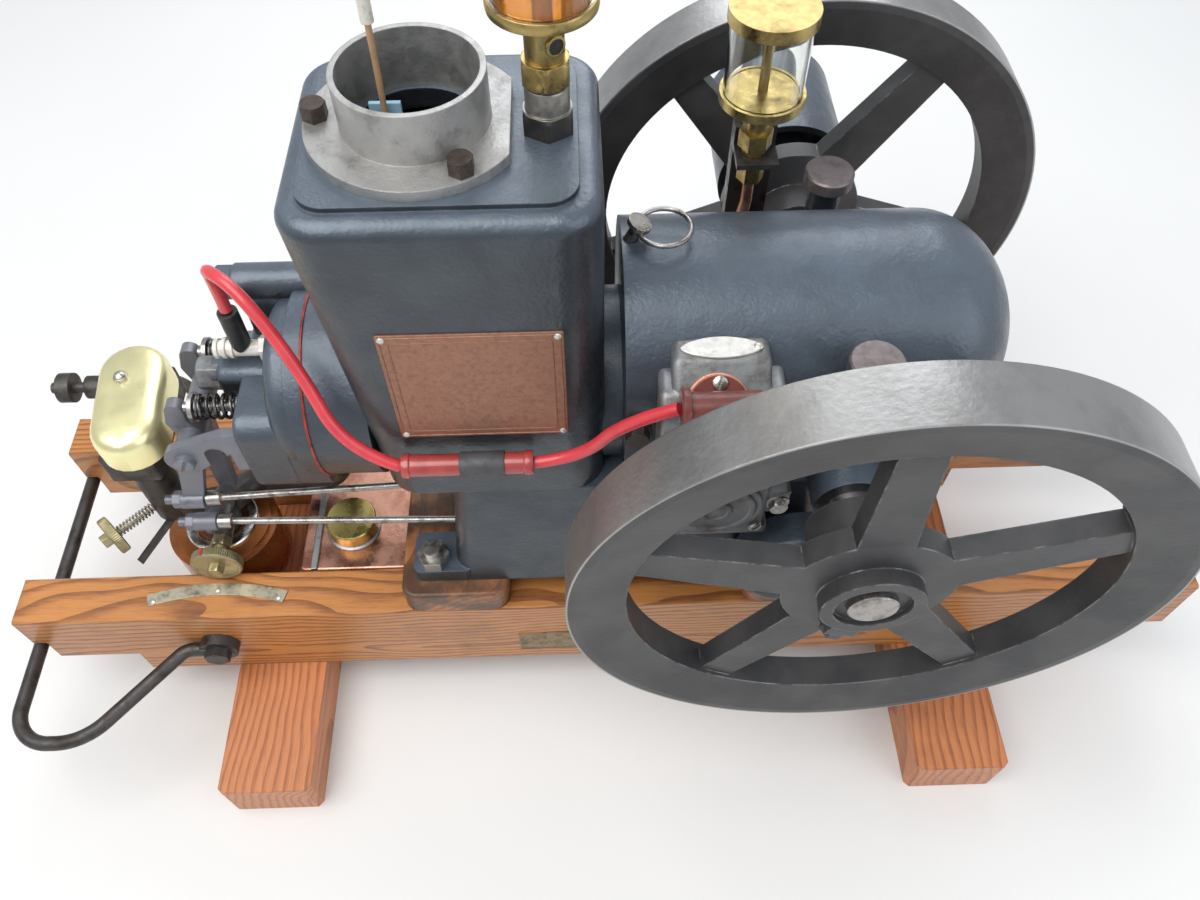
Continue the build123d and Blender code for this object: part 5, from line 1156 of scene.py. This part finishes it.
# Rings: red sealing paste in the joint behind the head, the polished ring on the bowl's lid and
# the grey solder round the tank's cap; across the tank runs a soldered seam
rings = {
    "headPaste": {
        "spot": (-190, 0, 300),
        "way": toLeft,
        "profile": [(64.4, -0.9), (66.0, -0.8), (66.2, 0.0), (66.0, 0.8), (64.4, 0.9)],
        "segments": 96,
        "slot": "red_lead",
        "finish": "gasket",
    },
    "bowlRing": {
        "spot": (-311, -12, 137),
        "way": toTop,
        "profile": [
            (28.5, -0.3), (28.5, 1.6), (27.6, 2.7), (24.6, 3.2), (21.0, 2.8), (20.2, 1.2), (20.2, -0.3)
        ],
        "segments": 72,
        "slot": "bare_steel",
        "finish": "polished",
    },
    "capSolder": {
        "spot": (-206, -17, 132),
        "way": toTop,
        "profile": [(21.6, -3.9), (21.4, -3.0), (19.6, -2.0), (17.0, -1.2)],
        "segments": 64,
        "slot": "copper_tank",
        "finish": "solder",
    },
}
for ringName, ring in rings.items():
    ringShape = turned(ring["spot"], ring["way"], ring["profile"], segments=ring["segments"])
    addPiece(ringName, [ringShape], ring["slot"], ring["finish"])
seam = {
    "middle": (-234, 0, 128),
    "up": toBack,
    "half": (2.6, 54.5),
    "corner": 1.0,
    "rows": [(0, -0.3), (0, 1.9), (0.6, 2.3)],
}
addPiece("tankSeam", [plate(**seam)], "copper_tank", "solder")

# Red sleeve in the lead: a collar at each end and a grey clip band round its middle
sleeve = {
    "left": (-130.0, -84.0, 315.0),
    "profile": [
        (4.6, 0), (7.6, 0), (7.9, 0.6), (7.9, 4.4), (7.4, 5), (7.0, 5.4),
        (7.0, 75), (7.6, 75.6), (7.9, 76.4), (7.9, 80.4), (7.6, 81), (4.6, 81),
    ],
    "band": [(6.9, 35.5), (7.8, 35.7), (8.0, 36.5), (8.0, 62.5), (7.8, 63.3), (6.9, 63.5)],
}
sleeveShape = turned(sleeve["left"], toRight, sleeve["profile"])
piece = addPiece("leadSleeve", [sleeveShape], "brown_bakelite", "sleeve")
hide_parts("lead_sleeve")
bandShape = turned(sleeve["left"], toRight, sleeve["band"])
addPiece("sleeveBand", [bandShape], "black_rubber", "band")
print("rings, seam and sleeve added")

# Ignition lead: the same route points as the solids, as one smooth curve a run
leads = {
    "plugLead": {
        "replaces": "plug_lead",
        "length": 0.2227,
        "points": [
            (-238, 2, 366.9), (-239, 4.5, 395), (-232, -12, 416), (-210, -30, 416),
            (-183, -54, 376), (-163, -81, 330), (-131.6, -84, 315),
        ],
    },
    "magnetoLead": {
        "replaces": "magneto_lead",
        "length": 0.1153,
        "points": [(-48.1, -84, 315), (-19, -84, 319), (6, -92, 366), (36.1, -97, 383)],
    },
}
leadDiameter = 0.008
for leadName, lead in leads.items():
    route = inFrame(lead["points"])
    line = bpy.data.curves.new(leadName, "CURVE")
    line.dimensions = "3D"
    spline = line.splines.new("NURBS")
    spline.points.add(len(route) - 1)
    spline.points.foreach_set("co", np.column_stack([route, np.ones(len(route))]).ravel())
    spline.order_u = 3
    spline.use_endpoint_u = True
    line.resolution_u = 16
    line.bevel_depth = leadDiameter / 2
    line.bevel_resolution = 5
    line.use_fill_caps = True
    line.materials.append(materials["red_lead"])
    piece = bpy.data.objects.new(leadName, line)
    bpy.context.scene.collection.objects.link(piece)
    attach(piece, "engine")
    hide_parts(lead["replaces"])
print("leads laid")

# Camera: fitted to the picture's framing, so it turns by these three angles
view = {
    "spot": (-17.8, -421.0, 813.5),
    "down": 55.309,
    "yaw": 1.696,
    "roll": -0.225,
    "lens": 29.09,
    "sensor": 36.0,
    "nearest": 0.02,
}
down, yaw, roll = (math.radians(view[angle]) for angle in ("down", "yaw", "roll"))
forward = Vector((math.sin(yaw) * math.cos(down), math.cos(yaw) * math.cos(down), -math.sin(down)))
aimed = forward.to_track_quat("-Z", "Y").to_matrix().to_4x4()
camera = bpy.data.objects.new("camera", bpy.data.cameras.new("camera"))
camera.data.lens = view["lens"]
camera.data.sensor_width = view["sensor"]
camera.data.clip_start = view["nearest"]
bpy.context.scene.collection.objects.link(camera)
standing = Matrix.Translation(Vector(inFrame(view["spot"])))
camera.matrix_world = standing @ aimed @ Matrix.Rotation(roll, 4, "Z")
bpy.context.scene.camera = camera

# Floor: a wide pale sheet
floorLook = {"half": 6.0, "dark": (0.74, 0.74, 0.73), "light": (0.79, 0.79, 0.78), "rough": 0.7}
floorMesh = bpy.data.meshes.new("floor")
floorCorners = np.array([(-1, -1, 0), (1, -1, 0), (1, 1, 0), (-1, 1, 0)]) * floorLook["half"]
floorMesh.from_pydata(floorCorners.tolist(), [], [(0, 1, 2, 3)])
floor = bpy.data.objects.new("floor", floorMesh)
bpy.context.scene.collection.objects.link(floor)
pale = Finish("pale floor")
floorColour = pale.mix(pale.noise(3.0), floorLook["dark"], floorLook["light"])
pale.surface(floorColour, floorLook["rough"])
floorMesh.materials.append(pale.material)

# Light: a soft studio sky and three large lamps
studio = {"colour": (0.9, 0.94, 1.0, 1.0), "strength": 0.55}
world = bpy.data.worlds.new("studio")
bpy.context.scene.world = world
world.use_nodes = True
backdrop = world.node_tree.nodes["Background"]
backdrop.inputs["Color"].default_value = studio["colour"]
backdrop.inputs["Strength"].default_value = studio["strength"]
lamps = {
    "key": {
        "spot": (-700, -500, 1900), "aim": (0, 0, 250), "size": 1.6,
        "power": 34.0, "colour": (1.0, 0.98, 0.95),
    },
    "fill": {
        "spot": (1500, -1100, 1300), "aim": (50, 0, 250), "size": 1.8,
        "power": 14.0, "colour": (0.93, 0.96, 1.0),
    },
    "back": {
        "spot": (200, 1500, 1500), "aim": (0, 0, 300), "size": 1.4,
        "power": 16.0, "colour": (0.95, 0.97, 1.0),
    },
}
for lampName, lamp in lamps.items():
    light = bpy.data.lights.new(lampName, "AREA")
    light.size = lamp["size"]
    light.energy = lamp["power"]
    light.color = lamp["colour"]
    holder = bpy.data.objects.new(lampName, light)
    bpy.context.scene.collection.objects.link(holder)
    spot = Vector(inFrame(lamp["spot"]))
    facing = (Vector(inFrame(lamp["aim"])) - spot).to_track_quat("-Z", "Y")
    holder.matrix_world = Matrix.Translation(spot) @ facing.to_matrix().to_4x4()
bpy.context.scene.view_settings.view_transform = "Standard"
print("camera and light set")
